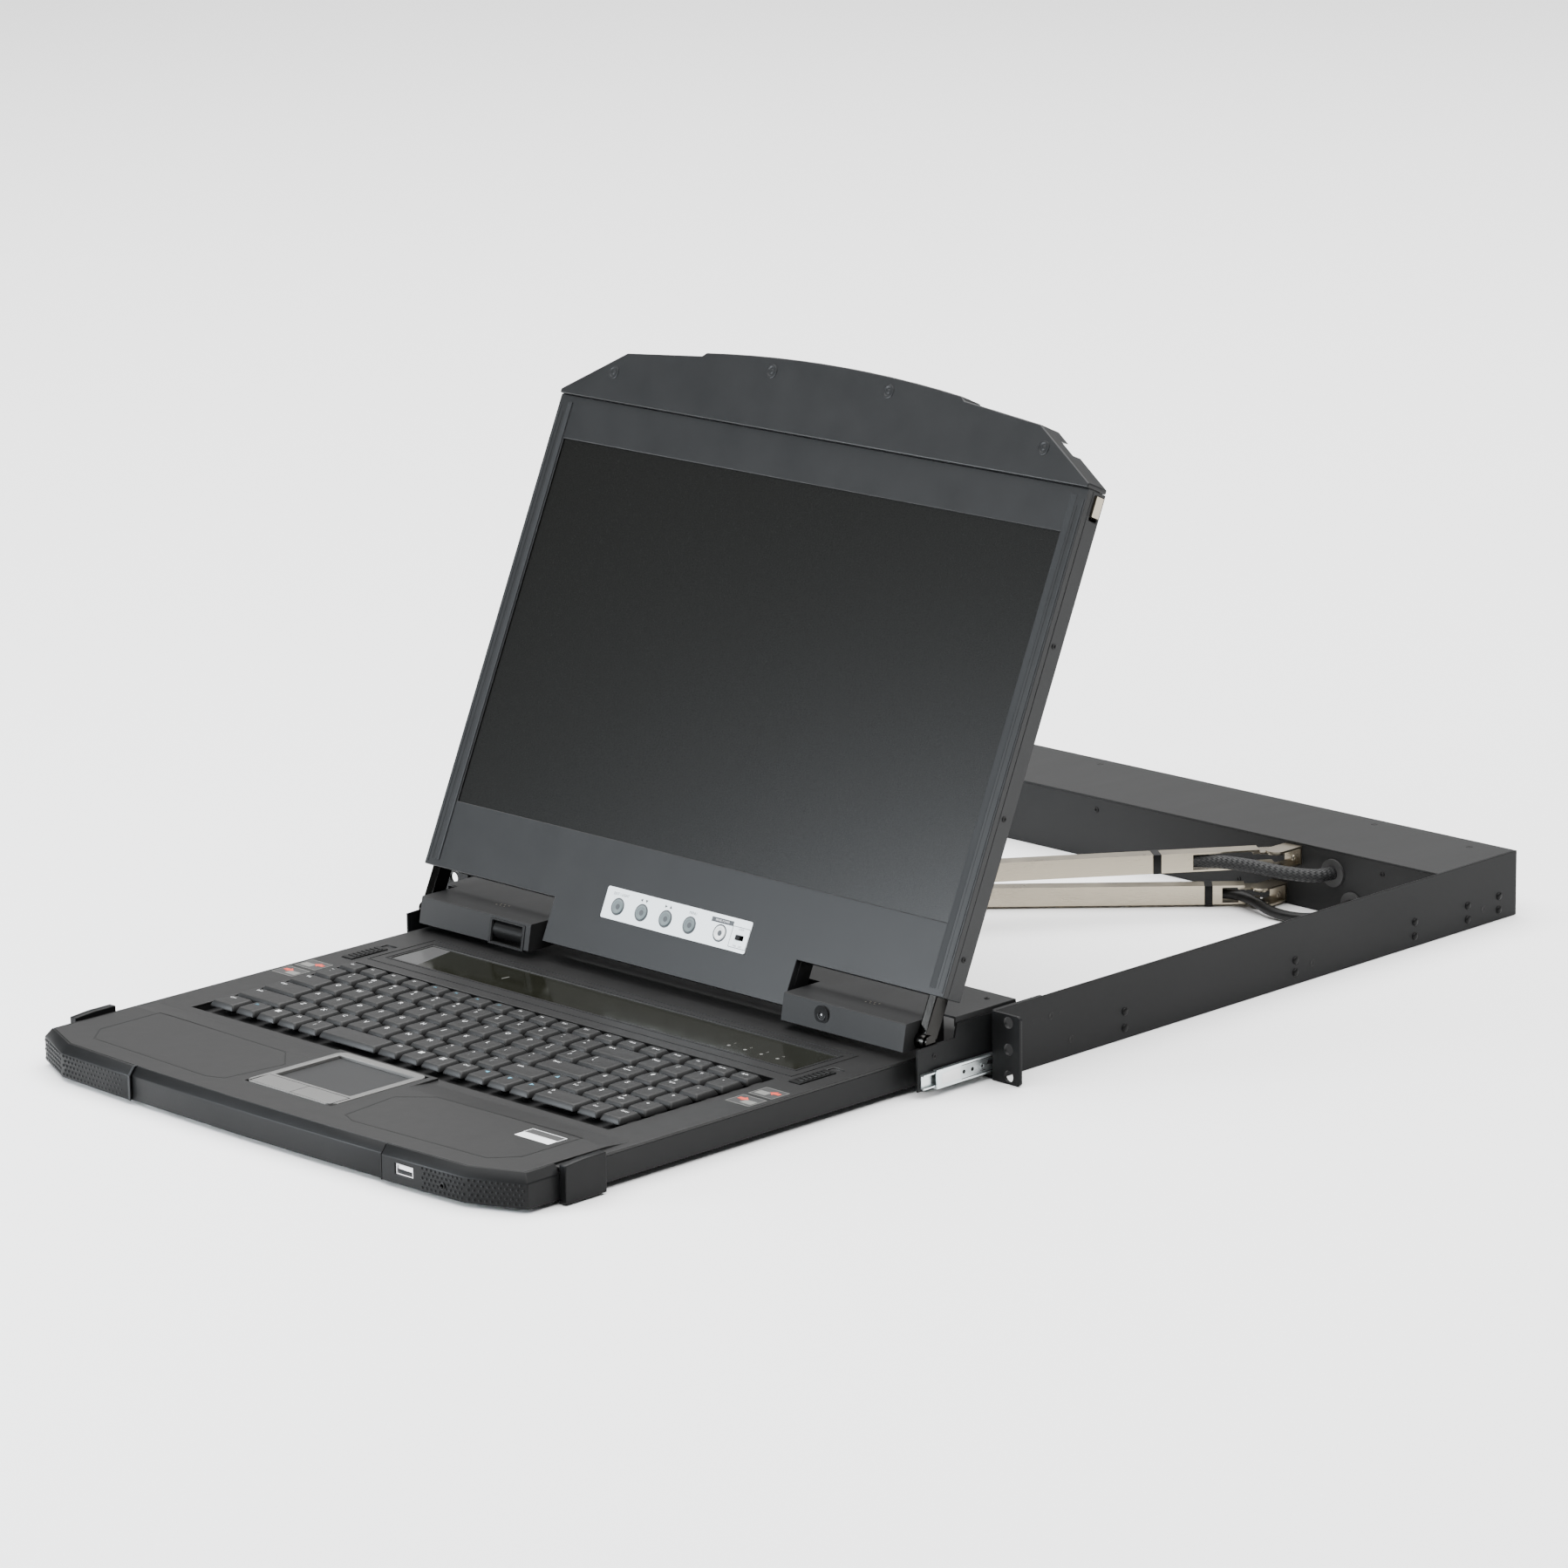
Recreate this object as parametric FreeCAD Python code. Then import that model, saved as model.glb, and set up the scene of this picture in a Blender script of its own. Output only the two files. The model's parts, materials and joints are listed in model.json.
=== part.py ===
"""Rackmount console drawer: a folding screen and a keyboard tray, each on its own pair of slides.

Everything is in millimetres and degrees. +X is the operator's right, +Y goes back into the rack
and +Z is up. The origin is the centre of the ear holes, on the rear face of the rack ears.
The model stands with both drawers pulled out and the lid open.
"""
import FreeCAD, Part
import math
import os

V = FreeCAD.Vector

# ---- driving dimensions: rack interface and housing ----
ear_span = 482.6
ear_hole_inset = 8.75
ear_hole_drop = 4.625
ear_hole_radius = 3.5
ear_thickness = 2.0
ear_corner_radius = 2.5
ear_reach = 20.3
housing_height = 41.0
housing_depth = 470.0
box_depth = 75.0
sheet = 1.2
top_lip_depth = 2.0
top_lip_length = 40.0
bottom_lip_depth = 9.5
cover_hem = 6.0

# ---- driving dimensions: electronics box ----
board_x = (-200.0, 62.0)
board_front_gap = 8.0
board_rear_gap = 6.0
board_standoff = 4.0
board_thickness = 1.6
post_x = (-190.0, -60.0, 50.0)
post_radius = 3.0
post_front_gap = 14.0
post_rear_gap = 12.0
supply_inset = (137.0, 93.0)
supply_gap = 8.0
supply_top_z = 8.0
coil_margin = 10.0
coil_y = (16.0, 40.0)
coil_height = 7.0
socket_wall = 1.0
socket_pocket = 9.0
inlet_size = (27.0, 20.0)
inlet_inset = 43.0
inlet_depth = 24.0
inlet_flange = 3.0
inlet_flange_thickness = 1.2
inlet_wall = 2.0
inlet_pocket = 16.0
inlet_pin_half = (1.0, 2.5)
inlet_pin_y = (22.0, 6.0)
inlet_pins = ((-7.0, 2.0), (0.0, -3.0), (7.0, 2.0))
rear_switch_size = (13.0, 19.0)
rear_switch_inset = 76.0
rear_switch_depth = 12.0
rear_switch_proud = 2.2
port_clearance = 0.2
port_inset = 18.0
port_proud = 0.6
rear_ports = (
    (-175.0, 31.0, 12.0),
    (-130.0, 31.0, 12.0),
    (-88.0, 12.0, 11.0),
    (-62.0, 14.5, 7.5),
    (-36.0, 14.5, 7.5),
    (-10.0, 9.0, 9.0),
    (10.0, 9.0, 9.0),
)

# ---- driving dimensions: slides ----
slide_height = 13.4
slide_depth = 5.2
slide_web = 0.9
slide_gap = 0.3
slide_centre_z = -10.8
slide_outer_start = 32.0
slide_rear_gap = 3.0
slide_middle_shorter = 110.0
slide_middle_lead = 78.0
lcd_slide_inner_length = 76.0
drawer_slide_inner_length = 70.0
slide_end_inset = 2.0

# ---- driving dimensions: screen carriage ----
carriage_front_y = -57.5
carriage_rear_y = 25.0
carriage_bottom_z = -16.5
carriage_side_front_z = 8.0
carriage_side_rear_z = 17.0
carriage_step_y = -25.0
cover_edge_drop = 2.3
pod_inner_x = 106.3
pod_side_gap = 18.0
pod_bottom_z = 4.3
pod_face_lean = 3.0
rocker_size = (26.0, 13.0)
rocker_centre = (-126.0, 11.4)
rocker_depth = 7.0
rocker_swing = 8.0
jack_centre = (138.0, 13.6)
jack_radius = 4.6
jack_bore_radius = 1.75
jack_depth = 13.0
jack_rim = 0.9
jack_proud = 0.6
hinge_body_length = 22.0
hinge_body_y = (-5.5, 14.0)
hinge_barrel_length = 14.0
hinge_barrel_radius = 4.6
hinge_pin_grip = 10.0
hinge_pin_head = (1.4, 1.2)
hinge_running_gap = 0.3

# ---- driving dimensions: lid, measured from the hinge axis ----
hinge_y = -45.0
hinge_z = 9.8
lid_tilt = 24.3
lid_side_gap = 3.7
lid_front_n = -5.3
lid_depth = 15.0
bezel_depth = 4.0
lid_wall = 2.0
lid_bottom_v = -1.2
notch_v = 25.9
notch_gap = 4.8
screen_border = 12.4
screen_height = 230.4
screen_bottom_v = 67.4
screen_top_border = 26.7
screen_recess = 1.0
glass_thickness = 5.0
glass_margin = 3.0
handle_proud = 2.0
handle_shoulder_inset = 47.3
handle_shoulder_rise = 31.1
handle_step_inner_x = 105.0
handle_step_outer_x = 108.0
handle_step_rise = (39.5, 37.1)
handle_crown_rise = 44.8
handle_chamfer_rise = 2.9
handle_gap = 0.3
handle_scoop_inset = 26.0
handle_scoop_depth = 7.0
handle_scoop_margin = (5.0, 6.0)
hinge_arm_inset = (12.7, 5.9)
hinge_arm_radius = 5.0
hinge_arm_n = (-3.6, 6.8)
hinge_arm_length = 60.0
hinge_pin_radius = 2.5
pin_hole_clearance = 0.3
plate_size = (121.0, 19.3)
plate_bottom_v = 21.2
plate_thickness = 0.8
osd_button_u = (-48.7, -28.7, -8.4, 11.7)
osd_button_names = ("exit", "down", "up", "menu")
button_v = 29.6
button_radius = 4.4
button_proud = 0.6
button_travel = 0.5
button_length = 5.0
button_clearance = 0.25
power_button_u = 37.0
lock_switch_u = 53.2
lock_switch_size = (3.6, 2.6)
lock_switch_slot = 6.4
lock_switch_travel = 2.2
latch_drop = 8.5
latch_size = (5.0, 12.0, 6.0)
latch_proud = 1.2
latch_travel = 2.0
latch_clearance = 0.3
latch_setback = 10.0

# ---- driving dimensions: keyboard drawer ----
drawer_side_gap = 17.0
drawer_bottom_z = -16.6
drawer_rear_y = 28.0
top_thickness = 1.6
palm_rise = 1.5
palm_rear_y = -283.0
palm_foot_y = -266.0
handle_bottom_z = -18.0
handle_front_y = -365.5
handle_flank_inset = 34.0
handle_flank_y = -361.0
handle_end_y = -346.0
handle_back_y = -322.0
bevel_rise = 5.0
bevel_depth = 4.0
cap_start_x = 107.0
hook_y = (-323.0, -293.0)
hook_width = 5.2
hook_z = (-19.5, 3.2)
hook_ramp = (14.0, 1.2)
key_field_inset = (26.0, 30.0)
key_field_y = (-258.0, -130.0)
key_recess = 4.6
key_top_z = 2.6
key_gap = 2.6
key_travel = 2.0
key_thickness = 3.6
window_inset = 34.0
window_y = (-110.0, -76.0)
window_recess = 0.5
pad_bezel_x = (-40.0, 33.0)
pad_bezel_y = (-335.0, -262.0)
pad_x = (-36.0, 27.5)
pad_y = (-316.0, -267.5)
pad_recess = 1.8
touch_button_y = (-333.0, -318.6)
touch_button_travel = 0.6
touch_button_side = 2.6
touch_button_gap = 0.25
pad_bezel_round = 6.0
catch_inset = (20.4, 11.4)
catch_y = (-129.0, -100.0)
catch_travel = 7.0
catch_height = 1.6
usb_centre = (124.5, -9.4)
usb_size = (13.6, 5.8)
usb_depth = 14.0
usb_clearance = 0.2
usb_setback = 1.6
usb_wall = 0.5
usb_back_wall = 3.0
reset_hole_x = 154.0
reset_hole_z = -11.7
reset_hole_radius = 1.2
bar_recess = 1.5
grip_wall = 5.0
grip_floor = 1.6
window_seat = 1.2
catch_seat = 1.0
catch_slot_gap = 0.3
pad_plateau_margin = 5.0
pad_bezel_depth = 2.2
bezel_proud = 0.3

# ---- driving dimensions: keys; row widths are in key units, from the front row to the back ----
key_margin_x = 2.0
key_front_margin = 10.0
key_row_pitch = 19.6
function_row_depth = 15.0
main_units = 15
pad_units = 4
key_taper = 1.4
key_stem_radius = 2.4
key_stem_clearance = 0.3
key_plate_thickness = 1.0
key_base_rim = 3.0
main_rows = (
    (1.25, 1, 1, 1, 1, 2.75, 1, 1, 1, 1, 1, 1, 1),
    (2.25,) + (1,) * 10 + (1.75, 1),
    (1.75,) + (1,) * 11 + (2.25,),
    (1.5,) + (1,) * 12 + (1.5,),
    (1,) * 13 + (2,),
)
pad_rows = ((2, 1, 1),) + ((1,) * 4,) * 4
space_bar_index = 5

# ---- driving dimensions: cable arms ----
arm_root_setback = 17.0
upper_pivot_y = 5.5
lower_pivot_y = 51.5
upper_arm_inset = 116.0
lower_arm_inset = 128.0
arm_rear_length = 238.0
arm_front_length = 222.0
arm_height = 12.0
arm_floor_gap = 0.2
arm_layer_gap = 13.6
arm_sheet = 1.2
arm_offset = 1.5
arm_channel_width = 11.0
arm_end_margin = 10.0
arm_eye_radius = 5.0
arm_pin_radius = 2.0
lug_half = 8.0
arm_closing_gap = 4.5
arm_far_margin = 25.0
arm_tab_gap = 0.2
bracket_margin = 1.5
riser_length = 4.0
upper_web_start = 52.0
lower_web_start = 24.0
video_sleeve_radius = 4.2
video_cable_radius = 3.2
keyboard_cable_radius = 3.2
grommet_wall = 3.0
grommet_flange = 1.6
grommet_neck = 1.2
video_grommet_inset = 84.0
video_grommet_z = 6.0
keyboard_grommet_inset = 69.0
keyboard_grommet_z = -11.5
arc_share = 0.45
tail_lead = 6.0
tail_first_run = 24.0
elbow_run = 48.0
far_end_lead = 11.0

# routes of the cables from their links to their grommets:
# distance in from the housing's side, y from the box's front wall, and z
video_tail = (
    (120.2, -39.0, 12.4),
    (101.5, -31.0, 9.5),
    (88.5, -18.5, 7.0),
    (84.0, -9.0, 6.0),
    (84.0, 7.0, 6.0),
)
keyboard_tail = (
    (124.0, -28.7, -13.3),
    (104.0, -34.0, -16.5),
    (84.0, -30.5, -17.0),
    (74.0, -23.0, -15.8),
    (69.0, -10.0, -11.5),
    (69.0, 7.0, -11.5),
)

# ---- derived places ----
half_height = housing_height / 2
ear_hole_pitch = housing_height - 2 * ear_hole_drop
housing_width = ear_span - 2 * ear_reach
side_x = housing_width / 2
inlet_x = side_x - inlet_inset
rear_switch_x = side_x - rear_switch_inset
supply_x = tuple(side_x - inset for inset in supply_inset)
upper_arm_x = side_x - upper_arm_inset
lower_arm_x = side_x - lower_arm_inset
video_grommet = (side_x - video_grommet_inset, video_grommet_z)
keyboard_grommet = (side_x - keyboard_grommet_inset, keyboard_grommet_z)
ear_hole_x = ear_span / 2 - ear_hole_inset
side_inner_x = side_x - sheet
box_front_y = housing_depth - box_depth
board_z = -half_height + sheet + board_standoff
lcd_slide_x = side_inner_x - slide_depth
carriage_side_inner_x = lcd_slide_x - sheet
drawer_half = side_x - drawer_side_gap
drawer_slide_x = drawer_half + slide_depth
slide_outer_length = box_front_y - slide_rear_gap - slide_outer_start
slide_middle_length = slide_outer_length - slide_middle_shorter
cover_top_z = half_height
pod_outer_x = side_x - pod_side_gap
lid_width = housing_width - 2 * lid_side_gap
notch_x = pod_inner_x - notch_gap
screen_width = lid_width - 2 * screen_border
seam_v = screen_bottom_v + screen_height + screen_top_border
handle_shoulder = (lid_width / 2 - handle_shoulder_inset, seam_v + handle_shoulder_rise)
handle_step_inner = (handle_step_inner_x, seam_v + handle_step_rise[0])
handle_step_outer = (handle_step_outer_x, seam_v + handle_step_rise[1])
handle_crown_v = seam_v + handle_crown_rise
handle_chamfer_v = seam_v + handle_chamfer_rise
latch_v = seam_v - latch_drop
hinge_arm_x = tuple(lid_width / 2 - inset for inset in hinge_arm_inset)
handle_flank = (drawer_half - handle_flank_inset, handle_flank_y)
hook_x = drawer_half + hook_width
window_x = drawer_half - window_inset
key_field_x = (key_field_inset[0] - drawer_half, drawer_half - key_field_inset[1])
key_unit = (key_field_x[1] - key_field_x[0] - 2 * key_margin_x) / (main_units + pad_units)
catch_x = tuple(drawer_half - inset for inset in catch_inset)
bezel_pocket_floor = palm_rise - pad_bezel_depth
key_base_z = key_top_z - key_thickness
cover_half = carriage_side_inner_x
cable_outlets = ((video_grommet, video_sleeve_radius), (keyboard_grommet, keyboard_cable_radius))
arm_root_y = box_front_y - arm_root_setback
lower_arm_z = -half_height + sheet + arm_floor_gap
upper_arm_z = lower_arm_z + arm_height + arm_layer_gap
lcd_travel = arm_root_y - arm_closing_gap - upper_pivot_y
drawer_travel = arm_root_y - arm_closing_gap - lower_pivot_y
arm_side_step = arm_rear_length - arm_front_length
upper_far_x = upper_arm_x - arm_side_step
lower_far_x = lower_arm_x - arm_side_step


def block(x0, x1, y0, y1, z0, z1):
    """A box between two opposite corners."""
    return Part.makeBox(x1 - x0, y1 - y0, z1 - z0, V(x0, y0, z0))


def rod(radius, start, end):
    """A cylinder from one point to another."""
    axis = V(*end) - V(*start)
    return Part.makeCylinder(radius, axis.Length, V(*start), axis)


def prism(points, direction):
    """A closed outline of points pulled along a direction."""
    outline = Part.makePolygon([V(*point) for point in points] + [V(*points[0])])
    return Part.Face(outline).extrude(V(*direction))


def mirrored(shape):
    """The same piece on the operator's other side."""
    return shape.mirror(V(0, 0, 0), V(1, 0, 0))


def pair(shape):
    """A piece and its mirror image, as two separate solids."""
    return Part.makeCompound([shape, mirrored(shape)])


def group(shapes):
    """Separate solids that share one node."""
    return Part.makeCompound(shapes)


def eased(shape, radius, keep):
    """Round the edges that the test function keeps."""
    edges = [edge for edge in shape.Edges if keep(edge)]
    return shape.makeFillet(radius, edges) if edges else shape


def runs_along(axis):
    """A test for straight edges that run along one axis."""
    def keep(edge):
        if edge.Curve.TypeId != "Part::GeomLine":
            return False
        direction = edge.tangentAt(edge.FirstParameter)
        return abs(abs(direction.dot(V(*axis))) - 1) < 1e-6
    return keep


def write(name, shape):
    """Save one node."""
    shape.exportStep(f"parts/{name}.step")


# ---- slides ----
def slide_channel(x, depth_sign, web_start, lips_to, half, y0, length):
    """One C-shaped slide member: an upright web and two lips that reach to lips_to."""
    web_end = web_start + slide_web
    low = slide_centre_z - half
    high = slide_centre_z + half

    def slab(start, end, z0, z1):
        near = min(x + depth_sign * start, x + depth_sign * end)
        far = max(x + depth_sign * start, x + depth_sign * end)
        return block(near, far, y0, y0 + length, z0, z1)

    reach = (min(web_start, lips_to), max(web_end, lips_to))
    web = slab(web_start, web_end, low, high)
    lower_lip = slab(reach[0], reach[1], low, low + slide_web)
    upper_lip = slab(reach[0], reach[1], high - slide_web, high)
    return web.fuse([lower_lip, upper_lip]).removeSplitter()


def slide_inner(x, y0, length):
    """The innermost member, screwed to the moving drawer at x and opening outwards."""
    half = slide_height / 2 - 2 * (slide_web + slide_gap)
    return slide_channel(x, 1, 0.0, slide_depth - 2 * (slide_web + slide_gap), half, y0, length)


def slide_middle(x, y0, length):
    """The middle member, nested between the other two."""
    half = slide_height / 2 - slide_web - slide_gap
    web_start = slide_depth - 2 * slide_web - slide_gap
    return slide_channel(x, 1, web_start, slide_web + slide_gap, half, y0, length)


def slide_outer(x, y0, length):
    """The outer member, screwed to the housing side of x + slide_depth."""
    web_start = slide_depth - slide_web
    return slide_channel(x, 1, web_start, slide_web + slide_gap, slide_height / 2, y0, length)


def build_slides():
    outers = []
    for x in (lcd_slide_x, drawer_half):
        member = slide_outer(x, slide_outer_start, slide_outer_length)
        outers += [member, mirrored(member)]
    write("outer_slide_channels", group(outers))
    middle_start = slide_outer_start - slide_middle_lead
    members = (
        ("lcd_slide", lcd_slide_x, carriage_front_y + slide_end_inset, lcd_slide_inner_length),
        ("drawer_slide", drawer_half, middle_start + slide_end_inset, drawer_slide_inner_length),
    )
    for name, x, inner_start, inner_length in members:
        write(f"{name}_middle", pair(slide_middle(x, middle_start, slide_middle_length)))
        write(f"{name}_inner", pair(slide_inner(x, inner_start, inner_length)))


# ---- housing ----
def side_plate():
    """One bent sheet: side wall, rack ear, top lip at the ear and a bottom lip with a slide fence."""
    wall = block(side_inner_x, housing_width / 2, -ear_thickness, housing_depth, -half_height, half_height)
    ear = block(side_inner_x, ear_span / 2, -ear_thickness, 0, -half_height, half_height)
    ear = eased(ear, ear_corner_radius, lambda edge: runs_along((0, 1, 0))(edge)
                and edge.BoundBox.XMin > ear_span / 2 - 0.1)
    top_lip = block(side_inner_x - top_lip_depth, side_inner_x, 0, top_lip_length,
                    half_height - sheet, half_height)
    bottom_lip = block(side_inner_x - bottom_lip_depth, side_inner_x, 0, box_front_y,
                       -half_height, -half_height + sheet)
    rail_foot = block(drawer_slide_x, side_inner_x, slide_outer_start, box_front_y,
                      -half_height, -half_height + sheet)
    fence = block(drawer_slide_x, drawer_slide_x + sheet, slide_outer_start, box_front_y,
                  -half_height, slide_centre_z + slide_height / 2)
    plate = wall.fuse([ear, top_lip, bottom_lip, rail_foot, fence]).removeSplitter()
    for z in (-ear_hole_pitch / 2, 0, ear_hole_pitch / 2):
        hole = rod(ear_hole_radius, (ear_hole_x, -ear_thickness - 1, z), (ear_hole_x, 1, z))
        plate = plate.cut(hole)
    return plate


def build_housing():
    write("side_plate_right", side_plate())
    write("side_plate_left", mirrored(side_plate()))

    bottom = block(-side_inner_x, side_inner_x, box_front_y, housing_depth,
                   -half_height, -half_height + sheet)
    front_wall = block(-side_inner_x, side_inner_x, box_front_y, box_front_y + sheet,
                       -half_height, half_height - sheet)
    rear_wall = block(-side_inner_x, side_inner_x, housing_depth - sheet, housing_depth,
                      -half_height, half_height - sheet)
    tub = bottom.fuse([front_wall, rear_wall])
    for (x, z), cable in cable_outlets:
        radius = cable + grommet_wall
        tub = tub.cut(rod(radius, (x, box_front_y - 1, z), (x, box_front_y + sheet + 1, z)))
    for x0, x1, z0, z1 in rear_cutouts():
        tub = tub.cut(block(x0, x1, housing_depth - sheet - 1, housing_depth + 1, z0, z1))
    posts = [rod(post_radius, (x, y, -half_height), (x, y, board_z))
             for x in post_x for y in (box_front_y + post_front_gap, housing_depth - post_rear_gap)]
    write("electronics_box", tub.fuse(posts).removeSplitter())

    lid = block(-side_inner_x, side_inner_x, box_front_y, housing_depth, half_height - sheet, half_height)
    hem = block(-side_inner_x, side_inner_x, box_front_y + sheet, box_front_y + 2 * sheet,
                half_height - cover_hem, half_height)
    write("electronics_box_cover", lid.fuse(hem).removeSplitter())


def port_box(x, width, height):
    """The outline of a rear socket that stands on the board: x0, x1, z0, z1."""
    floor = board_z + board_thickness
    return x - width / 2, x + width / 2, floor, floor + height


def centred_box(x, width, height):
    """An outline centred on the rear panel's mid height."""
    return x - width / 2, x + width / 2, -height / 2, height / 2


def rear_cutouts():
    """Holes in the rear wall for the sockets, the mains inlet and the switch."""
    outlines = [port_box(*port) for port in rear_ports]
    outlines.append(centred_box(inlet_x, *inlet_size))
    outlines.append(centred_box(rear_switch_x, *rear_switch_size))
    c = port_clearance
    return [(x0 - c, x1 + c, z0 - c, z1 + c) for x0, x1, z0, z1 in outlines]


def hollow_socket(x0, x1, y0, y1, z0, z1, wall, depth):
    """A socket body with a pocket in its rear face."""
    body = block(x0, x1, y0, y1, z0, z1)
    return body.cut(block(x0 + wall, x1 - wall, y1 - depth, y1 + 1, z0 + wall, z1 - wall))


def build_electronics():
    board = block(*board_x, box_front_y + board_front_gap, housing_depth - board_rear_gap,
                  board_z, board_z + board_thickness)
    write("main_circuit_board", board)

    supply = block(*supply_x, box_front_y + supply_gap, housing_depth - supply_gap,
                   -half_height + sheet, supply_top_z)
    coil = block(supply_x[0] + coil_margin, supply_x[1] - coil_margin,
                 box_front_y + coil_y[0], box_front_y + coil_y[1], supply_top_z, supply_top_z + coil_height)
    write("power_supply", supply.fuse(coil))

    outer_face = housing_depth + port_proud
    sockets = []
    for port in rear_ports:
        x0, x1, z0, z1 = port_box(*port)
        sockets.append(hollow_socket(x0, x1, housing_depth - port_inset, outer_face, z0, z1,
                                     socket_wall, socket_pocket))
    x0, x1, z0, z1 = centred_box(inlet_x, *inlet_size)
    inlet = hollow_socket(x0, x1, housing_depth - inlet_depth, outer_face, z0, z1,
                          inlet_wall, inlet_pocket)
    flange = block(x0 - inlet_flange, x1 + inlet_flange, housing_depth,
                   housing_depth + inlet_flange_thickness, z0 + 0.5, z1 - 0.5)
    wall = inlet_wall
    flange = flange.cut(block(x0 + wall, x1 - wall, housing_depth - 1, housing_depth + 2,
                              z0 + wall, z1 - wall))
    half_x, half_z = inlet_pin_half
    y0, y1 = (housing_depth - depth for depth in inlet_pin_y)
    pins = [block(inlet_x + x - half_x, inlet_x + x + half_x, y0, y1, z - half_z, z + half_z)
            for x, z in inlet_pins]
    sockets.append(inlet.fuse([flange] + pins).removeSplitter())
    write("rear_sockets", group(sockets))

    width, height = rear_switch_size
    paddle = block(-width / 2, width / 2, -rear_switch_depth, 0, -height / 2 + 0.9, height / 2 - 0.9)
    barrel = rod(height / 2 - 1.2, (-width / 2, -rear_switch_depth / 2, 0),
                 (width / 2, -rear_switch_depth / 2, 0))
    paddle = paddle.common(barrel)
    paddle.translate(V(rear_switch_x, housing_depth + rear_switch_proud, 0))
    write("rear_power_switch", paddle)

    brackets = []
    for x, z0 in ((upper_arm_x, upper_arm_z), (lower_arm_x, lower_arm_z)):
        brackets.append(arm_bracket(x, z0))
    write("arm_brackets", group(brackets))

    grommets = []
    for (x, z), cable in cable_outlets:
        radius = cable + grommet_wall
        front = box_front_y - grommet_flange
        ring = rod(radius + grommet_flange, (x, front, z), (x, box_front_y, z))
        neck = rod(radius, (x, front, z), (x, box_front_y + sheet + grommet_neck, z))
        bore = rod(cable, (x, front - 1, z), (x, box_front_y + sheet + grommet_neck + 1, z))
        grommets.append(ring.fuse(neck).cut(bore).removeSplitter())
    write("cable_grommets", group(grommets))


# ---- screen carriage ----
def build_carriage():
    roof = block(-cover_half, cover_half, carriage_step_y, carriage_rear_y, cover_top_z - sheet, cover_top_z)
    front_wall = block(-pod_inner_x, pod_inner_x, carriage_step_y, carriage_step_y + sheet,
                       pod_bottom_z, cover_top_z)
    edge = block(cover_half - sheet, cover_half, carriage_step_y, carriage_rear_y,
                 carriage_side_rear_z - cover_edge_drop, cover_top_z)
    pieces = [front_wall, edge, mirrored(edge)]
    for pod in (pod_shell(), mirrored(pod_shell())):
        pieces.append(pod)
    seat_bottom = upper_arm_z + arm_height + slide_gap
    pieces.append(rod(arm_eye_radius, (upper_far_x, upper_pivot_y, seat_bottom),
                      (upper_far_x, upper_pivot_y, cover_top_z - sheet)))
    cover = roof.fuse(pieces).removeSplitter()
    pin_hole = rod(hinge_pin_radius + pin_hole_clearance, (pod_outer_x - 2 * sheet, hinge_y, hinge_z),
                   (pod_outer_x + 1, hinge_y, hinge_z))
    cover = cover.cut(pair(pin_hole))
    width, height = rocker_size
    x, z = rocker_centre
    cover = cover.cut(block(x - width / 2, x + width / 2, carriage_front_y - 5, carriage_front_y + 8,
                            z - height / 2, z + height / 2))
    x, z = jack_centre
    cover = cover.cut(rod(jack_radius, (x, carriage_front_y - 5, z), (x, carriage_front_y + 8, z)))
    write("carriage_cover", cover)

    profile = [
        (carriage_side_inner_x, carriage_front_y, carriage_bottom_z),
        (carriage_side_inner_x, carriage_front_y, carriage_side_front_z),
        (carriage_side_inner_x, carriage_step_y - 2, carriage_side_front_z + 1),
        (carriage_side_inner_x, carriage_step_y, carriage_side_rear_z),
        (carriage_side_inner_x, carriage_rear_y, carriage_side_rear_z),
        (carriage_side_inner_x, carriage_rear_y, carriage_bottom_z),
    ]
    write("carriage_side_plates", pair(prism(profile, (sheet, 0, 0))))

    write("friction_hinges", pair(friction_hinge()))
    write("pod_rocker_switch", pod_rocker())

    x, z = jack_centre
    face = carriage_front_y + pod_face_lean / 2
    body = rod(jack_radius, (x, face - jack_proud, z), (x, face + jack_depth, z))
    rim = rod(jack_radius + jack_rim, (x, face - jack_proud, z), (x, face + 0.1, z))
    bore = rod(jack_bore_radius, (x, face - 2, z), (x, face + jack_depth - 2, z))
    face_plane = pod_face_cutter()
    write("round_jack", body.fuse(rim.cut(face_plane)).cut(bore).removeSplitter())


def pod_shell():
    """The hollow front block of the cover, with a leaning face, on the operator's right."""
    top = carriage_front_y + pod_face_lean
    outer = [
        (pod_inner_x, carriage_front_y, pod_bottom_z),
        (pod_inner_x, top, cover_top_z),
        (pod_inner_x, carriage_step_y + sheet, cover_top_z),
        (pod_inner_x, carriage_step_y + sheet, pod_bottom_z),
    ]
    inner = [
        (pod_inner_x + sheet, carriage_front_y + sheet, pod_bottom_z - 1),
        (pod_inner_x + sheet, top + sheet, cover_top_z - sheet),
        (pod_inner_x + sheet, carriage_step_y + 2 * sheet, cover_top_z - sheet),
        (pod_inner_x + sheet, carriage_step_y + 2 * sheet, pod_bottom_z - 1),
    ]
    length = pod_outer_x - pod_inner_x
    return prism(outer, (length, 0, 0)).cut(prism(inner, (length - 2 * sheet, 0, 0)))


def pod_face_cutter():
    """Everything behind the leaning face of the right front block."""
    top = carriage_front_y + pod_face_lean
    behind = [
        (pod_inner_x, carriage_front_y, pod_bottom_z),
        (pod_inner_x, top, cover_top_z),
        (pod_inner_x, 0, cover_top_z),
        (pod_inner_x, 0, pod_bottom_z),
    ]
    return prism(behind, (pod_outer_x - pod_inner_x, 0, 0))


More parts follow.
